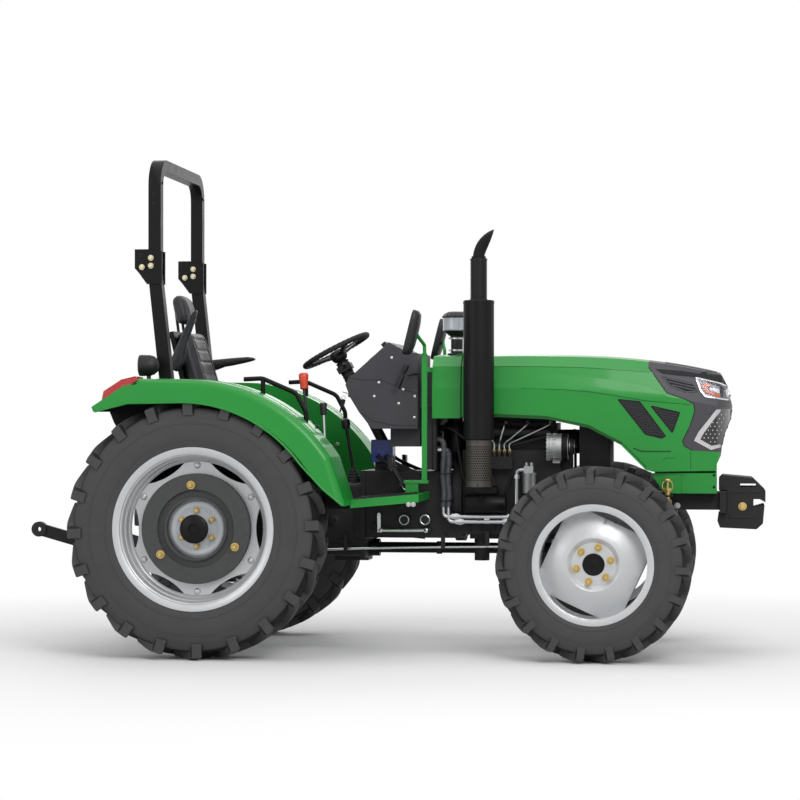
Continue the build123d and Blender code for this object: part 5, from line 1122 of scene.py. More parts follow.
# Steering wheel
STEER_LEAN = math.radians(27.5)
STEER_UP = Vector((-math.sin(STEER_LEAN), 0, math.cos(STEER_LEAN)))
STEER_REAR = Vector((-math.cos(STEER_LEAN), 0, -math.sin(STEER_LEAN)))
STEER_CENTRE = Vector((543, 0, 1441))
STEER_HUB = [(-56, 26), (-54, 32), (-40, 40), (-14, 42), (-6, 40), (-1, 33), (1, 16), (1, 0)]
# Section of a spoke, and its sizes along the spoke: reach, half width, sink and half thickness
SPOKE_SECTION = ((-1, -0.6), (-0.7, -1), (0.7, -1), (1, -0.6), (1, 0.6), (0.7, 1), (-0.7, 1), (-1, 0.6))
SPOKE = ((26, 24, -26, 9), (80, 17, -17, 7), (130, 14, -7, 6), (164, 15, 0, 6))


def steering_wheel():
    across = Vector(ACROSS)
    with made("steering_rim", SOFT_RUBBER, "steering_wheel", smooth=60, replaces="steering_wheel") as rim:
        ring = circle(STEER_CENTRE, 168 * across, 168 * STEER_REAR, 120)
        tube(rim, ring, lambda t: 13.0 + 0.9 * math.cos(2 * math.pi * 40 * t), 14, 1, closed=True)
    with made("steering_hub", BLACK_PLASTIC, "steering_wheel", smooth=45) as hub:
        turned(hub, STEER_CENTRE, STEER_UP, STEER_HUB, 40)
        for way in circle((0, 0, 0), STEER_REAR, -across, 3):
            off = STEER_UP.cross(way)
            rows = []
            for reach, half, sink, thick in SPOKE:
                middle = STEER_CENTRE + way * reach + STEER_UP * sink
                rows.append([middle + off * s * half + STEER_UP * t * thick for s, t in SPOKE_SECTION])
            lofted(hub, rows)


def column():
    down = -STEER_UP
    across = Vector(ACROSS)
    switch = STEER_CENTRE + down * 96
    folds = [(58, 24)]
    for k in range(6):
        folds += [(64 + k * 14, 34 - k * 0.5), (71 + k * 14, 29)]
    with made("column_boot", BLACK_PLASTIC) as boot:
        turned(boot, STEER_CENTRE, down, folds + [(150, 31), (200, 31)], 32)
        boxed(boot, switch, (STEER_REAR, across, STEER_UP), (-36, 36), (-40, 40), (-16, 14))
        stalk = [switch - across * 38, STEER_CENTRE + down * 92 - across * 92 - STEER_REAR * 14,
                 STEER_CENTRE + down * 84 - across * 128 - STEER_REAR * 22]
        tube(boot, stalk, lambda t: 5 + 4 * t, 10, 5)


# Dash
DASH_FACE = Vector((644, 0, 1303))
DASH_UP, DASH_OUT = Vector((0.747, 0, 0.665)), Vector((-0.665, 0, 0.747))
DIALS = ((-96, 134, 42), (0, 140, 58), (96, 134, 42))
DASH_SCREWS = ((789, 1282), (766, 1216), (884, 1182), (906, 1249), (961, 1216), (959, 1116), (850, 1400))
# Hoses of the steering unit: X and Y of the port, and the end
STEER_HOSES = ((758, -64, (960, -150, 850)), (798, -64, (985, -170, 842)), (815, 52, (985, 120, 846)))
DASH_SEAMS = ([(640, 1309), (700, 1296), (800, 1296), (905, 1249), (975, 1232)],
              [(692, 1144), (760, 1100), (860, 1080), (975, 1078)])


def gauges():
    across = Vector(ACROSS)
    axes = (across, DASH_UP, DASH_OUT)
    spots = [(DASH_FACE + across * a + DASH_UP * b + DASH_OUT * 6, r) for a, b, r in DIALS]

    def way_at(turn):
        return math.sin(turn) * across + math.cos(turn) * DASH_UP

    with made("gauge_cluster", BLACK_PLASTIC, bevel=2.0) as cluster:
        boxed(cluster, DASH_FACE, axes, (-168, 168), (52, 226), (-2, 7))
        boxed(cluster, DASH_FACE, axes, (-176, 176), (214, 238), (-2, 26))
        for spot, r in spots:
            turned(cluster, spot, DASH_OUT, [(0, r + 5), (7, r + 5), (8, r + 1), (4, r)], 48)
        for k in range(5):
            boxed(cluster, DASH_FACE, axes, (-130 + k * 58, -100 + k * 58), (62, 84), (6, 12))
    with made("gauge_dials", DARK_LENS) as dials:
        for spot, r in spots:
            turned(dials, spot, DASH_OUT, [(1.2, r), (1.6, r * 0.5), (1.6, 0)])
    with made("gauge_glass", LENS) as glass:
        for spot, r in spots:
            turned(glass, spot, DASH_OUT, [(6, r + 1), (6.8, r * 0.5), (7, 0)])
    with made("gauge_marks", WHITE_LED, slot="dark_plastic") as marks:
        for spot, r in spots:
            for k in range(11):
                way = way_at(math.radians(-125 + 25 * k))
                tube(marks, [spot + way * r * share + DASH_OUT * 2.2 for share in (0.78, 0.92)], 0.9, 4, 1)
            tube(marks, [spot + DASH_OUT * 3, spot + way_at(-0.9) * r * 0.7 + DASH_OUT * 3], 1.1, 6, 1)


def dash_side(side, way):
    with made(f"dash_screws_{side}", STEEL) as screws:
        for x, z in DASH_SCREWS:
            turned(screws, (x, way * 255, z), (0, way, 0), [(0, 7), (1.5, 7), (3.4, 4.5), (3.8, 0)], 14)
    with made(f"dash_lines_{side}", BLACK_PLASTIC) as lines:
        for seam in DASH_SEAMS:
            prism(lines, seam + [(x, z - 3) for x, z in reversed(seam)], way * 254, way * 256)


def switches():
    with made("throttle_lever", BLACK_PLASTIC) as stalk:
        tube(stalk, [(978, -252, 1324), (950, -285, 1320), (934, -300, 1313)], 5, 10, 4)
        tube(stalk, [(930, -300, 1364), (916, -300, 1332), (906, -300, 1310), (883, -300, 1256)],
             lambda t: 13 - 7 * math.exp(-((t - 0.5) / 0.16) ** 2), 12, 5)
    barrel_out = (-0.94, 0, 0.34)
    with made("key_switch", STEEL, bevel=0.6) as lock:
        turned(lock, (632, -100, 1226), barrel_out, [(-6, 15), (10, 15), (12, 12), (12, 0)], 24)
        boxed(lock, (612, -100, 1232), ((0.34, 0, 0.94), ACROSS, barrel_out), (-3, 3), (-11, 11), (-8, 22))
    with made("key_fob", BLACK_PLASTIC, bevel=1.0) as fob:
        tube(fob, circle((594, -100, 1212), (9, 0, 0), (0, 0, 9), 20), 1.2, 6, 1, closed=True)
        boxed(fob, (590, -101, 1180), ((0.2, 0, 0.98), ACROSS, (0.98, 0, -0.2)), (-2, 23), (-2, 4), (-10, 10))
        boxed(fob, (578, -101, 1142), ((0.25, 0, 0.97), ACROSS, (0.97, 0, -0.25)), (0, 40), (-1, 2), (-4, 4))


def steering_unit():
    with made("steering_unit", BLUE, bevel=5.0) as unit:
        brick(unit, (722, 828), (-53, 53), (898, 1008))
        for x in (758, 798):
            turned(unit, (x, -53, 929), (0, -1, 0), [(0, 13), (12, 13), (14, 10), (14, 0)], 20)
    with made("steering_hoses", SOFT_RUBBER) as hoses:
        for x, y, end in STEER_HOSES:
            tube(hoses, [(x, y, 929), (x + 30, y * 1.4, 906), (x + 110, y * 1.7, 868), end], 9, 10, 6)


steering_wheel()
column()
gauges()
switches()
steering_unit()


# Levers, pedals and step plates
def levers():
    with made("range_knob", KNOB, smooth=50) as knob:
        turned(knob, (460.5, -448, 1248), (-4, 8, 72),
               [(0, 12), (4, 17.6), (22, 18.6), (58, 23), (70, 23), (76, 19), (79, 10), (79, 0)], 28)
    with made("lever_grips", BLACK_PLASTIC, bevel=2.0) as grips:
        turned(grips, (556, -465, 1128), (-2, 4, 52),
               [(0, 10), (4, 15), (30, 16), (50, 18), (56, 15), (58, 0)], 24)
        turned(grips, (610, -110, 1060), (-4, -6, 43),
               [(0, 12), (6, 19), (28, 22), (44, 19), (50, 10), (51, 0)], 24)
        for x0, x1, top in ((455, 535, 1075), (540, 600, 980)):
            middle = (x0 + x1) / 2
            brick(grips, (x0 - 3, x1 + 3), (-506, -457), (top - 6, top + 3))
            brick(grips, (middle - 34, middle + 34), (-492, -470), (top + 2, top + 5))
    with made("lever_rod", STEEL) as rod:
        tube(rod, [(565, -481, 958), (561, -474, 1050), (556.5, -465, 1132)], 6.8, 10, 2)
    folds = [(0, 38)]
    for k in range(5):
        folds += [(6 + k * 13, 41 - k * 5.5), (12 + k * 13, 35 - k * 5.5)]
    with made("lever_boot", SOFT_RUBBER) as boot:
        turned(boot, (640, -60, 800), (-0.06, -0.1, 1), folds + [(76, 9)], 32)


def pedal_pads():
    with made("pedal_pads", SOFT_RUBBER, bevel=1.5) as pads:
        for y in (-300, -225, 230):
            brick(pads, (842, 848.5), (y - 32, y + 32), (870, 932))
            for k in range(6):
                brick(pads, (838, 843), (y - 28, y + 28), (875 + k * 9.5, 880 + k * 9.5))


def step_mats(side, way):
    look = from_top(skin_of("platform"))
    outline = [(718, way * 250), (1008, way * 250), (1008, way * 606), (718, way * 606)]
    with made(f"step_mat_{side}", SOFT_RUBBER) as mat:
        panel(mat, outline, look, 4.0, 5, 60)
        for line in hatch(inset(outline, 10), 90 - 0.01, 18):
            ribbon(mat, line, look, 7, 7.5, 5, 80)
    bolts(f"step_bolts_{side}", [(x, way * 620, 716) for x in (1000, 978)], (0, way, 0), STEEL, 15, 8)


levers()
pedal_pads()
for side, way in SIDES:
    dash_side(side, way)
    step_mats(side, way)


# Engine bay, hoses and pipes
PORTS = [1260 + k * (320 / 3) for k in range(4)]
DYNAMO = (-238, 977)  # Y and Z of the alternator's axis
PIPE_Y = -232
ROTOR = [(1660, 60), (1660, 63), (1664, 64), (1686, 64), (1690, 61), (1690, 40), (1694, 35), (1699, 30),
         (1706, 30), (1711, 35), (1719, 36), (1721, 12), (1728, 11), (1728, 0)]
STARTER = [(-3, 20), (-3, 44), (2, 46), (70, 46), (72, 48), (80, 48), (82, 46), (180, 46), (186, 42),
           (190, 30), (190, 0)]
SOLENOID = [(-2, 0), (-2, 24), (2, 25.5), (106, 25.5), (110, 22), (114, 8), (122, 8), (122, 0)]
FILTER = [(752, 0), (752, 10), (757, 24), (764, 31), (770, 33.5), (842, 33.5), (846, 36), (854, 36),
          (856, 30)]
UNION = [(-16, 9), (-16, 14), (0, 14), (0, 17), (14, 17), (14, 13), (24, 13), (24, 9)]
CLEANER = [(866, 0), (866, 40), (872, 52), (884, 58), (930, 58), (934, 62), (942, 62), (946, 58), (1080, 58),
           (1090, 52), (1096, 36), (1150, 34), (1230, 34)]
# Belt pulleys: Y, Z and radius
PULLEYS = ((0, 740, 74), (*DYNAMO, 36), (0, 1000, 60))
# Wires: points and radius
LOOM = (
    ([(1064, -150, 1070), (1130, -190, 1062), (1220, -196, 1000), (1330, -200, 980), (1420, -186, 985),
      (1560, -190, 1020), (1600, -205, 1030)], 8),
    ([(1150, -190, 1050), (1168, -205, 940), (1190, -214, 830), (1225, -232, 790)], 6),
    ([(1290, -198, 985), (1302, -190, 900), (1330, -186, 820), (1322, -205, 780)], 4.5),
    ([(1420, -190, 850), (1400, -196, 780), (1380, -186, 720), (1385, -178, 660)], 5),
    ([(1064, 150, 1060), (1150, 190, 1050), (1300, 205, 985), (1500, 190, 970), (1640, 170, 1000)], 8),
)


def injection():
    with made("injector_lines", STEEL, smooth=60) as lines, made("line_nuts", ZINC, smooth=30) as nuts:
        for k, port in enumerate(PORTS):
            x, end = 1335 + 25 * k, port + 18
            tube(lines, [(x, -205, 955), (x, -205, 990), (x + 0.3 * (end - x), -214, 1018), (end, -206, 1082),
                         (end, -150, 1104), (end, -128, 1092)], 4.2, 8, 6)
            turned(nuts, (x, -205, 950), UP, [(0, 9.6), (12, 9.6), (14, 6), (14, 0)], 6)
            turned(nuts, (end, -128, 1086), UP, [(0, 9), (12, 9), (14, 6), (14, 0)], 6)
    with made("fuel_filter", ALLOY, smooth=40) as canister:
        turned(canister, (1501, -204, 0), UP, FILTER)
        for x in (1489, 1513):
            turned(canister, (x, -205, 885), UP, [(0, 9), (16, 9), (18, 6), (18, 0)], 6)


def engine_bolts():
    sump = [(1215 + 58 * k, 170, z) for k in range(7) for z in (575, 600)]
    manifold = [(port + d, 133, 1075) for port in PORTS for d in (-34, 34)]
    for side, way in SIDES:
        spots = [(x, way * y, z) for x, y, z in sump + manifold]
        bolts(f"engine_bolts_{side}", spots, (0, way, 0), CAST, 13, 8)
    bolts("rocker_bolts", [(x, 0, 1150) for x in (1250, 1450, 1550)], UP, ZINC)
    with made("oil_cap", BLACK_PLASTIC) as cap:
        turned(cap, (1310, 0, 1150), UP, [(0, 27), (18, 27), (20, 31), (29, 31), (31, 28), (31, 0)], 24)


def dynamo_and_starter():
    with made("alternator_fins", ALLOY, bevel=0.5) as fins:
        for x, r in ((1592, 63.5), (1606, 63.5), (1634, 64.5), (1650, 64.5)):
            collar(fins, (x, *DYNAMO), AHEAD, 60, r, 9)
        for k in range(20):
            c, s = math.cos(turn_of(k, 20)), math.sin(turn_of(k, 20))
            for reach in ((1588, 1606), (1618, 1632)):
                boxed(fins, (0, *DYNAMO), (AHEAD, (0, c, s), (0, -s, c)), reach, (58, 64.5), (-3, 3))
    with made("starter_and_rotor", BLACK_PAINT) as dark:
        turned(dark, (0, *DYNAMO), AHEAD, ROTOR, 48)
        turned(dark, (1206, -217, 705), AHEAD, STARTER)
        turned(dark, (1242, -222, 768), AHEAD, SOLENOID, 28)


def half_hull(points):
    """One side of the tightest loop round sorted points."""
    chain = []
    for p in points:
        while len(chain) > 1:
            (ax, ay), (bx, by) = chain[-2:]
            if (bx - ax) * (p[1] - ay) - (by - ay) * (p[0] - ax) > 0:
                break
            chain.pop()
        chain.append(p)
    return chain[:-1]


def fan_belt():
    rims = [circle((0, y, z), (0, r, 0), (0, 0, r), 48) for y, z, r in PULLEYS]
    points = sorted({(p.y, p.z) for rim in rims for p in rim})
    loop = half_hull(points) + half_hull(points[::-1])
    section = ((1698, 1.0), (1712, 1.0), (1710, 0.955), (1700, 0.955))
    with made("fan_belt", SOFT_RUBBER, smooth=50) as belt:
        rows = [[belt.verts.new((x, y * f, 905 + (z - 905) * f)) for x, f in section] for y, z in loop]
        for near, far in zip(rows, rows[1:] + rows[:1]):
            bridge(belt, near, far)


def side_hoses():
    y = PIPE_Y
    with made("hose_sleeves", SLEEVE, smooth=60) as sleeves:
        for x, top in ((1096, 995), (1120, 948)):
            ripple = [(x + 3 * math.sin(k * 1.1), y - 3 * math.sin(k * 0.8), top - k * (top - 690) / 9)
                      for k in range(10)]
            tube(sleeves, ripple, lambda t: 14.5 + 0.8 * math.sin(40 * t), 14, 4)
            bend = [(x, y, top), (x - 6, y - 2, top + 10), (x - 22, y + 4, top + 15),
                    (1066, y + 10, top + 15)]
            tube(sleeves, bend, 14, 14, 5)
    with made("hose_ties", BLACK_PLASTIC) as ties:
        for z in (720, 850):
            tube(ties, circle((1108, -233, z), (33, 0, 0), (0, 19, 0), 28), 2.6, 6, 1, closed=True)
    with made("pipe_unions", STEEL, smooth=30) as unions:
        for x, z in ((1150, 645), (1170, 621), (1418, 645), (1394, 621)):
            turned(unions, (x, y, z), AHEAD, UNION, 6)
        for z in (655, 840):
            turned(unions, (1443, y, z), UP, [(-14, 9), (-14, 14), (4, 14), (4, 9)], 6)
    with made("wiring_loom", SOFT_RUBBER, smooth=60) as loom:
        for points, radius in LOOM:
            tube(loom, points, radius, 8, 6)


def cooling():
    with made("hose_clamps", STEEL) as clamps:
        for x, z, way in ((1580, 1166, UP), (1580, 1215, UP), (1690, 1272, AHEAD), (1770, 1272, AHEAD)):
            collar(clamps, (x, 90, z), way, 20, 22.4, 11, 32)
    with made("lower_hose", SOFT_RUBBER, smooth=60) as hose:
        tube(hose, [(1660, -60, 860), (1690, -110, 840), (1740, -150, 815), (1788, -160, 800)], 19, 14, 6)
    with made("radiator_core", BLACK_PAINT) as core:
        for k in range(44):
            y = -205 + k * 410 / 43
            brick(core, (1880, 1884), (y - 1.2, y + 1.2), (790, 1195))
        for z in (775, 1205):
            brick(core, (1878, 1890), (-216, 216), (z - 18, z + 18))
        turned(core, (1830, -90, 1256), UP, [(0, 30), (4, 36), (12, 36), (15, 30), (16, 0)], 24)


def firewall_side():
    with made("firewall_seal", SOFT_RUBBER, smooth=60) as seal:
        for y in (-250, 250):
            tube(seal, [(1056, y, z) for z in (866, 1040, 1212)], 13, 10, 2)
            brick(seal, (1014, 1056), (y - 2, y + 2), (868, 1168))
    with made("air_cleaner", BLACK_PLASTIC, smooth=40) as cleaner:
        turned(cleaner, (1130, 0, 0), UP, CLEANER, 48)
        for z in (1000, 1050):
            collar(cleaner, (1130, 0, z), UP, 58, 60.5, 14)
            brick(cleaner, (1066, 1080), (-22, 22), (z, z + 14))
        tube(cleaner, [(1130, 50, 1060), (1150, 110, 1064), (1200, 150, 1060), (1262, 172, 1050)], 24, 16, 6)


# Driveline
BRAKE_LEVER = [(774, 566), (788, 566), (790, 650), (784, 660), (776, 660), (772, 650)]


def gearbox():
    box = skin_of("transmission")
    sides = {way: from_side(box, way) for _, way in SIDES}
    flange = []
    for k in range(18):
        turn = math.radians(10 + 20 * k)
        y, z = 204 * math.cos(turn), 740 + 204 * math.sin(turn)
        if abs(y) > 182 or z > 872 or z < 528:
            flange.append((1135, y, z))
    bolts("bell_bolts", flange, BACK, CAST, 15, 9)
    with made("gearbox_plugs", CAST) as plugs:
        for look in sides.values():
            for x, z, r in ((880, 700, 16), (760, 590, 20), (560, 620, 22)):
                turned(plugs, *look(x, z), [(-2, r + 7), (3, r + 7), (4, r + 3), (4, r), (11, r), (13, r - 3),
                                            (13, r * 0.45), (7, r * 0.4), (7, 0)], 28)
    with made("boss_rings", STEEL) as rings:
        for way in sides:
            for x, z in ((900, 626), (1001, 627), (914, 790)):
                turned(rings, (x, way * 184, z), (0, way, 0),
                       [(-1, 19), (2.5, 19.5), (3.5, 22), (2.5, 24.5), (-1, 25)])
    with made("gearbox_ribs", CAST, bevel=2.0) as ribs:
        for look in sides.values():
            for x in (430, 520, 660, 720):
                ribbon(ribs, [(x, 480), (x, 760)], look, 9, 7, 9, 60)
            ribbon(ribs, [(420, 520), (1000, 520)], look, 9, 6, 8, 60)
    with made("shaft_bands", CAST) as bands:
        for x in (700, 1050, 1400):
            collar(bands, (x - 12, 0, 485), AHEAD, 26, 31, 24, 32)


def brake_linkage():
    with made("brake_rods", STEEL, bevel=0.8) as rods:
        tube(rods, [(470, -188, 480), (900, -194, 494), (1350, -200, 502), (1560, -196, 506)], 5.5, 10, 5)
        tube(rods, [(800, -192, 576), (900, -192, 576), (998, -192, 577)], 9, 12, 3)
        for x in (790, 1008):
            turned(rods, (x, -170, 576), (0, -1, 0), [(0, 11), (34, 11), (36, 8), (36, 0)], 16)
        for y in (-198, -186):
            prism(rods, BRAKE_LEVER, y, y + 4)
        turned(rods, (781, -204, 640), ACROSS, [(0, 0), (0, 9), (4, 9), (4, 6), (36, 6)], 14)
    with made("rod_hangers", CAST, bevel=1.0) as hangers:
        for x, z, top in ((620, 486, 560), (1090, 498, 560), (1300, 502, 575)):
            brick(hangers, (x - 10, x + 10), (-204, -194), (z - 10, top))
            brick(hangers, (x - 10, x + 10), (-204, -165), (top - 6, top))
        turned(hangers, (998, -192, 577), AHEAD, [(0, 10), (4, 15), (30, 12), (36, 10), (36, 0)], 20)


# Front end
TOW_X, TOW_Y = 2156, -268
TOW_PIN = [(0, 0), (0, 9), (4, 12), (96, 12), (98, 20), (108, 20), (110, 12), (112, 6), (138, 6), (140, 15),
           (146, 17), (152, 15), (154, 0)]
WEIGHT_MARKS = ([(2440, 640), (2560, 640), (2575, 660), (2575, 690), (2540, 690), (2530, 660), (2440, 655)],
                [(2450, 760), (2590, 760), (2590, 768), (2450, 768)])


def tow_hitch():
    with made("tow_pin", ZINC, smooth=40) as pin:
        turned(pin, (TOW_X, TOW_Y, 676), UP, TOW_PIN, 24)
        collar(pin, (TOW_X, TOW_Y, 706), UP, 12, 20, 26, 6)
        ring = circle((TOW_X, TOW_Y - 2, 0), (24, 0, 0), (0, 0, 26), 24)
        tube(pin, [(x, y, 796 + z * (1 if z > 0 else 1.25)) for x, y, z in ring], 2.4, 8, 1, closed=True)
    with made("tow_bracket", CAST, bevel=2) as bracket:
        for z in ((694, 704), (744, 752)):
            brick(bracket, (TOW_X - 26, TOW_X + 26), (TOW_Y - 24, TOW_Y + 95), z)


def front_side(side, way):
    out = (0, way, 0)
    # Flat black discs for the beam's holes: painted shade of their insides
    with made(f"beam_holes_{side}", BLACK_MESH_AND_SHADE, slot="black_paint") as holes:
        for x, z in ((2311, 738), (2358, 736), (2010, 735), (1960, 700)):
            turned(holes, (x, way * 180, z), out, [(-1, 9), (1.2, 9), (1.2, 6.5), (0.4, 0)], 20)
    bolts(f"weight_bolt_{side}", [(2505, way * 148, 697)], out, ZINC, 26, 12)
    beam = [(x, way * 180, z) for x, z in ((1740, 715), (1740, 650), (1800, 715), (2200, 700))]
    bolts(f"beam_bolts_{side}", beam, out, STEEL, 19, 11)
    bolts(f"cover_bolts_{side}", [(2372, way * 245, z) for z in (846, 790)], out, BLACK_PAINT, 8, 4, "steel")
    with made(f"cover_fold_{side}", GREEN, bevel=1.0) as fold:
        brick(fold, (2222, 2227), (way * 244, way * 247.5), (763, 852))


def weight_ribs():
    with made("weight_ribs", CAST, bevel=2) as ribs:
        for _, way in SIDES:
            for outline in WEIGHT_MARKS:
                prism(ribs, outline, way * 147, way * 151)


injection()
engine_bolts()
dynamo_and_starter()
fan_belt()
side_hoses()
cooling()
firewall_side()
gearbox()
brake_linkage()
tow_hitch()
weight_ribs()
for side, way in SIDES:
    front_side(side, way)


# Fenders, rear lamps and roll bar
FENDER_X, FENDER_Z, FENDER_RADIUS = -54.3, 495.4, 691.5
TAIL_LENS = [(-425, 1190), (-416, 1236), (-332, 1290), (-250, 1308), (-252, 1284)]
TAIL_TRAY = [(-425, 1187), (-262, 1280), (-256, 1272), (-420, 1180)]
TAIL_RIB = [(-421, 1196), (-413, 1236), (-330, 1289), (-266, 1304)]
LAMP_Y, LAMP_Z = 565, 1360
LAMP_CASE = [(-301, 43), (-301, 49), (-296, 50.5), (-286, 50.5), (-252, 49), (-232, 43), (-216, 29),
             (-210, 12), (-209, 0)]


def fender(side, way):
    turns = [math.radians(88 - k * 52 / 16) for k in range(17)]
    arc = [(FENDER_X + FENDER_RADIUS * math.cos(t), FENDER_Z + FENDER_RADIUS * math.sin(t)) for t in turns]
    run = [(-455, 1144), (-300, 1182.5)] + arc + [(610, 789.5), (700, 716)]
    with made(f"fender_bead_{side}", GREEN, smooth=60) as bead:
        tube(bead, [(x, way * 814.5, z) for x, z in run], 5.5, 8, 1)
    look = from_top(skin_of(f"fender_{side}"))
    with made(f"fender_ridges_{side}", GREEN, bevel=1.4, smooth=50) as ridges:
        for y in (640, 742):
            line = [(x, way * y) for x in (-180, -60, 80, 220, 360, 480, 560)]
            ribbon(ridges, line, look, 12, 2.0, 3, 22)
    spots = [(x, way * 505, z) for x, z in ((-60, 1200), (150, 1170), (330, 1090), (470, 980))]
    bolts(f"fender_bolts_{side}", spots, (0, -way, 0), STEEL, 13, 7)


def tail_lamp(side, way):
    y0, y1 = way * 815, way * 692
    node = "rear_lamps" if side == "right" else None
    with made(f"tail_lens_{side}", RED, bevel=1.5, replaces=node) as lens:
        prism(lens, inset(TAIL_LENS, 4), y0, y1)
        for angle, pitch, radius in ((35, 11, 2.0), (-40, 14, 1.8)):
            for p, q in hatch(inset(TAIL_LENS, 7), angle, pitch):
                tube(lens, [(p.x, y0, p.y), (q.x, y0, q.y)], radius, 6, 1)
        for k in range(9):
            y = y0 + (y1 - y0) * (k + 0.5) / 9
            tube(lens, [(x, y, z) for x, z in TAIL_RIB], 2.6, 6, 1)


def work_lamp(side, way):
    y = way * LAMP_Y
    with made(f"lamp_housing_{side}", BLACK_PLASTIC) as case:
        prism(case, TAIL_TRAY, way * 815, way * 692)
        turned(case, (0, y, LAMP_Z), AHEAD, LAMP_CASE, 44)
        turned(case, (-258, y, 1240), UP, [(0, 10), (70, 10), (74, 14), (84, 14)], 20)
        turned(case, (-258, y, 1286), UP, [(-2, 26), (8, 26), (12, 18), (12, 10)], 24)
    with made(f"lamp_reflector_{side}", CHROME) as chrome:
        turned(chrome, (-300, y, LAMP_Z), BACK, [(0.5, 44), (-12, 32), (-22, 10), (-22, 0)], 36)
    with made(f"work_lens_{side}", LENS) as glass:
        turned(glass, (-300, y, LAMP_Z), BACK, [(0, 44), (3, 38), (5, 20), (5.5, 0)], 36)


def roll_bar(side, way):
    out = Vector((0, way, 0))
    posts = skin_of("roll_bar_posts")
    look = from_side(posts, way)
    with made(f"roll_bar_bolts_{side}", PALE_ZINC, smooth=30) as heads:
        for x, z in ((-262, 1869), (-262, 1832), (-303, 1825)):
            hex_head(heads, look(x, z)[0], out, 18, 10)
            hex_head(heads, cast(posts, (x, way * 300, z), out)[0], -out, 18, 10)
    # Flat black discs for the bracket's and hoop's holes: painted shade of their insides
    with made(f"bracket_hole_{side}", BLACK_MESH_AND_SHADE, slot="black_paint") as hole:
        turned(hole, *look(-313, 1881), [(-1, 10), (1.0, 10), (1.0, 7), (0.2, 0)], 20)
    look = from_side(skin_of("roll_bar_hoop"), way)
    with made(f"hoop_holes_{side}", BLACK_MESH_AND_SHADE, "roll_bar", "black_paint") as holes:
        for x, z in ((-252, 2172), (-251, 2128)):
            turned(holes, *look(x, z), [(-1, 8), (0.9, 8), (0.9, 6), (0.2, 0)], 18)


def power_take_off():
    look = from_rear(skin_of("rear_axle", "lift_housing"))
    hub = look(0, 560)[0]
    with made("pto_shaft", STEEL) as shaft:
        turned(shaft, hub, BACK, [(-4, 30), (6, 30), (8, 17.5), (88, 17.5), (92, 14), (92, 0)], 36)
        for off in circle((0, 0, 0), (0, 18, 0), (0, 0, 18), 6):
            tube(shaft, [hub + off + Vector((x, 0, 0)) for x in (-14, -84)], 3, 6, 1)
    with made("pto_cover", CAST) as cover:
        for k in range(8):
            turn = math.radians(22.5 + 45 * k)
            hex_head(cover, look(72 * math.cos(turn), 560 + 72 * math.sin(turn))[0], BACK, 15, 9)
        turned(cover, hub, BACK, [(-2, 92), (6, 92), (8, 88), (8, 52), (4, 48), (4, 28)], 48)
    with made("hydraulic_couplers", ZINC) as couplers:
        for y in (-140, -105, 105, 140):
            turned(couplers, look(y, 742)[0], BACK, [(-3, 16), (6, 16), (8, 13), (30, 13), (32, 15), (44, 15),
                                                     (46, 12), (46, 0)], 20)


for side, way in SIDES:
    for dress in (fender, tail_lamp, work_lamp, roll_bar):
        dress(side, way)
power_take_off()


# Floor, light and camera
WHITE = (1, 1, 1, 1)
# Lights: name, place, aim, size and power
LIGHTS = [
    ("top", (0.2, -0.6, 5.6), (0, 0, 0.8), 5.0, 90),
    ("key", (3.0, -6.0, 5.0), (0.1, 0, 0.9), 3.4, 270),
    ("fill", (-4.8, -5.6, 2.6), (-0.3, 0, 0.8), 3.0, 80),
    ("back", (-1.5, 6.0, 4.0), (0, 0, 1.0), 4.0, 120),
]


def seen_directly(tree):
    """One for rays from the camera and for what is seen in or through a surface, zero for the light."""
    path = add_node(tree, "LightPath", {})
    looked = combined(tree, "MAXIMUM", path["Is Camera Ray"], path["Is Transmission Ray"])
    return combined(tree, "MAXIMUM", looked, path["Is Glossy Ray"])


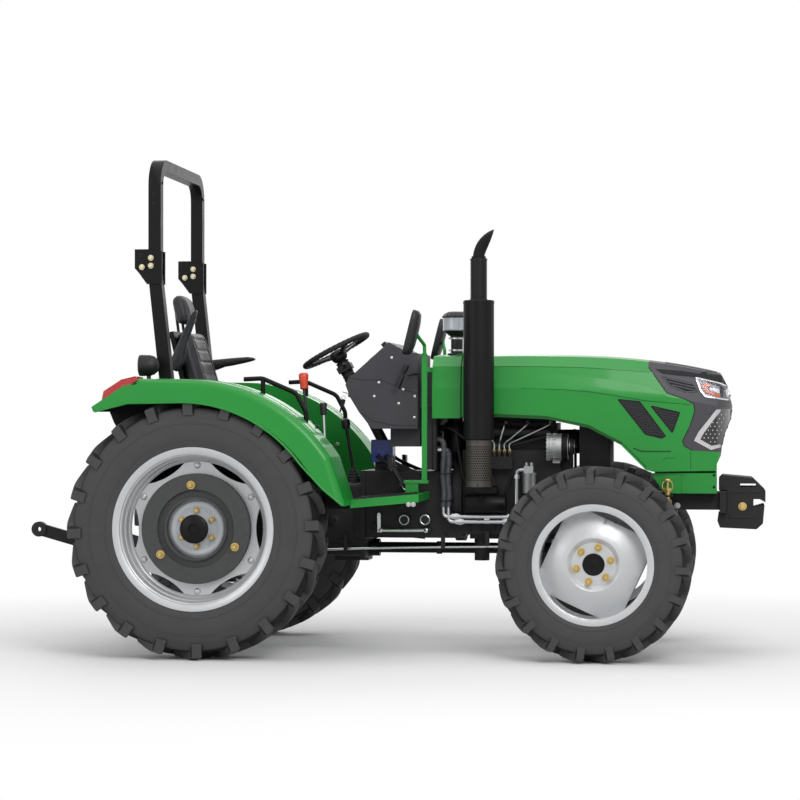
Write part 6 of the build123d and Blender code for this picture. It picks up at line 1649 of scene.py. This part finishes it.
def make_floor():
    """Pale floor that fades to white away from the tractor."""
    bpy.ops.mesh.primitive_plane_add(size=120, location=(0, 0, -0.0005))
    floor = bpy.context.object
    floor.name = "floor"
    mat = bpy.data.materials.new("floor_white")
    mat.use_nodes = True
    tree = mat.node_tree
    shader = tree.nodes["Principled BSDF"]
    set_inputs(tree, shader, {"Base Color": (0.92, 0.92, 0.92, 1), "Roughness": 0.8})
    space = add_node(tree, "TexCoord", {})["Object"]
    length = add_node(tree, "VectorMath", {0: space}, operation="LENGTH")["Value"]
    fade = add_node(tree, "MapRange", {"Value": length, "From Min": 1.6, "From Max": 4.2})["Result"]
    share = combined(tree, "MULTIPLY", fade, seen_directly(tree))
    glow = add_node(tree, "Emission", {"Color": WHITE})["Emission"]
    mix = add_node(tree, "MixShader", {"Fac": share, 1: shader.outputs["BSDF"], 2: glow})["Shader"]
    set_inputs(tree, tree.nodes["Material Output"], {"Surface": mix})
    floor.data.materials.append(mat)


def make_world():
    """White studio that lights less than it shows."""
    world = bpy.data.worlds.new("studio")
    world.use_nodes = True
    tree = world.node_tree
    shown = seen_directly(tree)
    strength = add_node(tree, "MapRange", {"Value": shown, "To Min": 0.36, "To Max": 1.0})["Result"]
    set_inputs(tree, tree.nodes["Background"], {"Color": WHITE, "Strength": strength})
    bpy.context.scene.world = world


def make_lights():
    for name, spot, aim, size, power in LIGHTS:
        data = bpy.data.lights.new(name, "AREA")
        data.size = size
        data.energy = power
        lamp = bpy.data.objects.new(name, data)
        lamp.location = spot
        lamp.rotation_euler = (Vector(aim) - Vector(spot)).to_track_quat("-Z", "Y").to_euler()
        bpy.context.scene.collection.objects.link(lamp)


def make_camera():
    """The photograph's camera."""
    camera = bpy.data.objects.new("camera", bpy.data.cameras.new("camera"))
    camera.data.lens = 112.05
    camera.data.sensor_width = 36.0
    camera.data.clip_end = 200.0
    camera.location = (1.5641, -11.998, 1.1368)
    camera.rotation_euler = (math.radians(90.3), 0, math.radians(7.48))
    bpy.context.scene.collection.objects.link(camera)
    bpy.context.scene.camera = camera


bpy.context.scene.view_settings.view_transform = "Standard"
make_floor()
make_world()
make_lights()
make_camera()
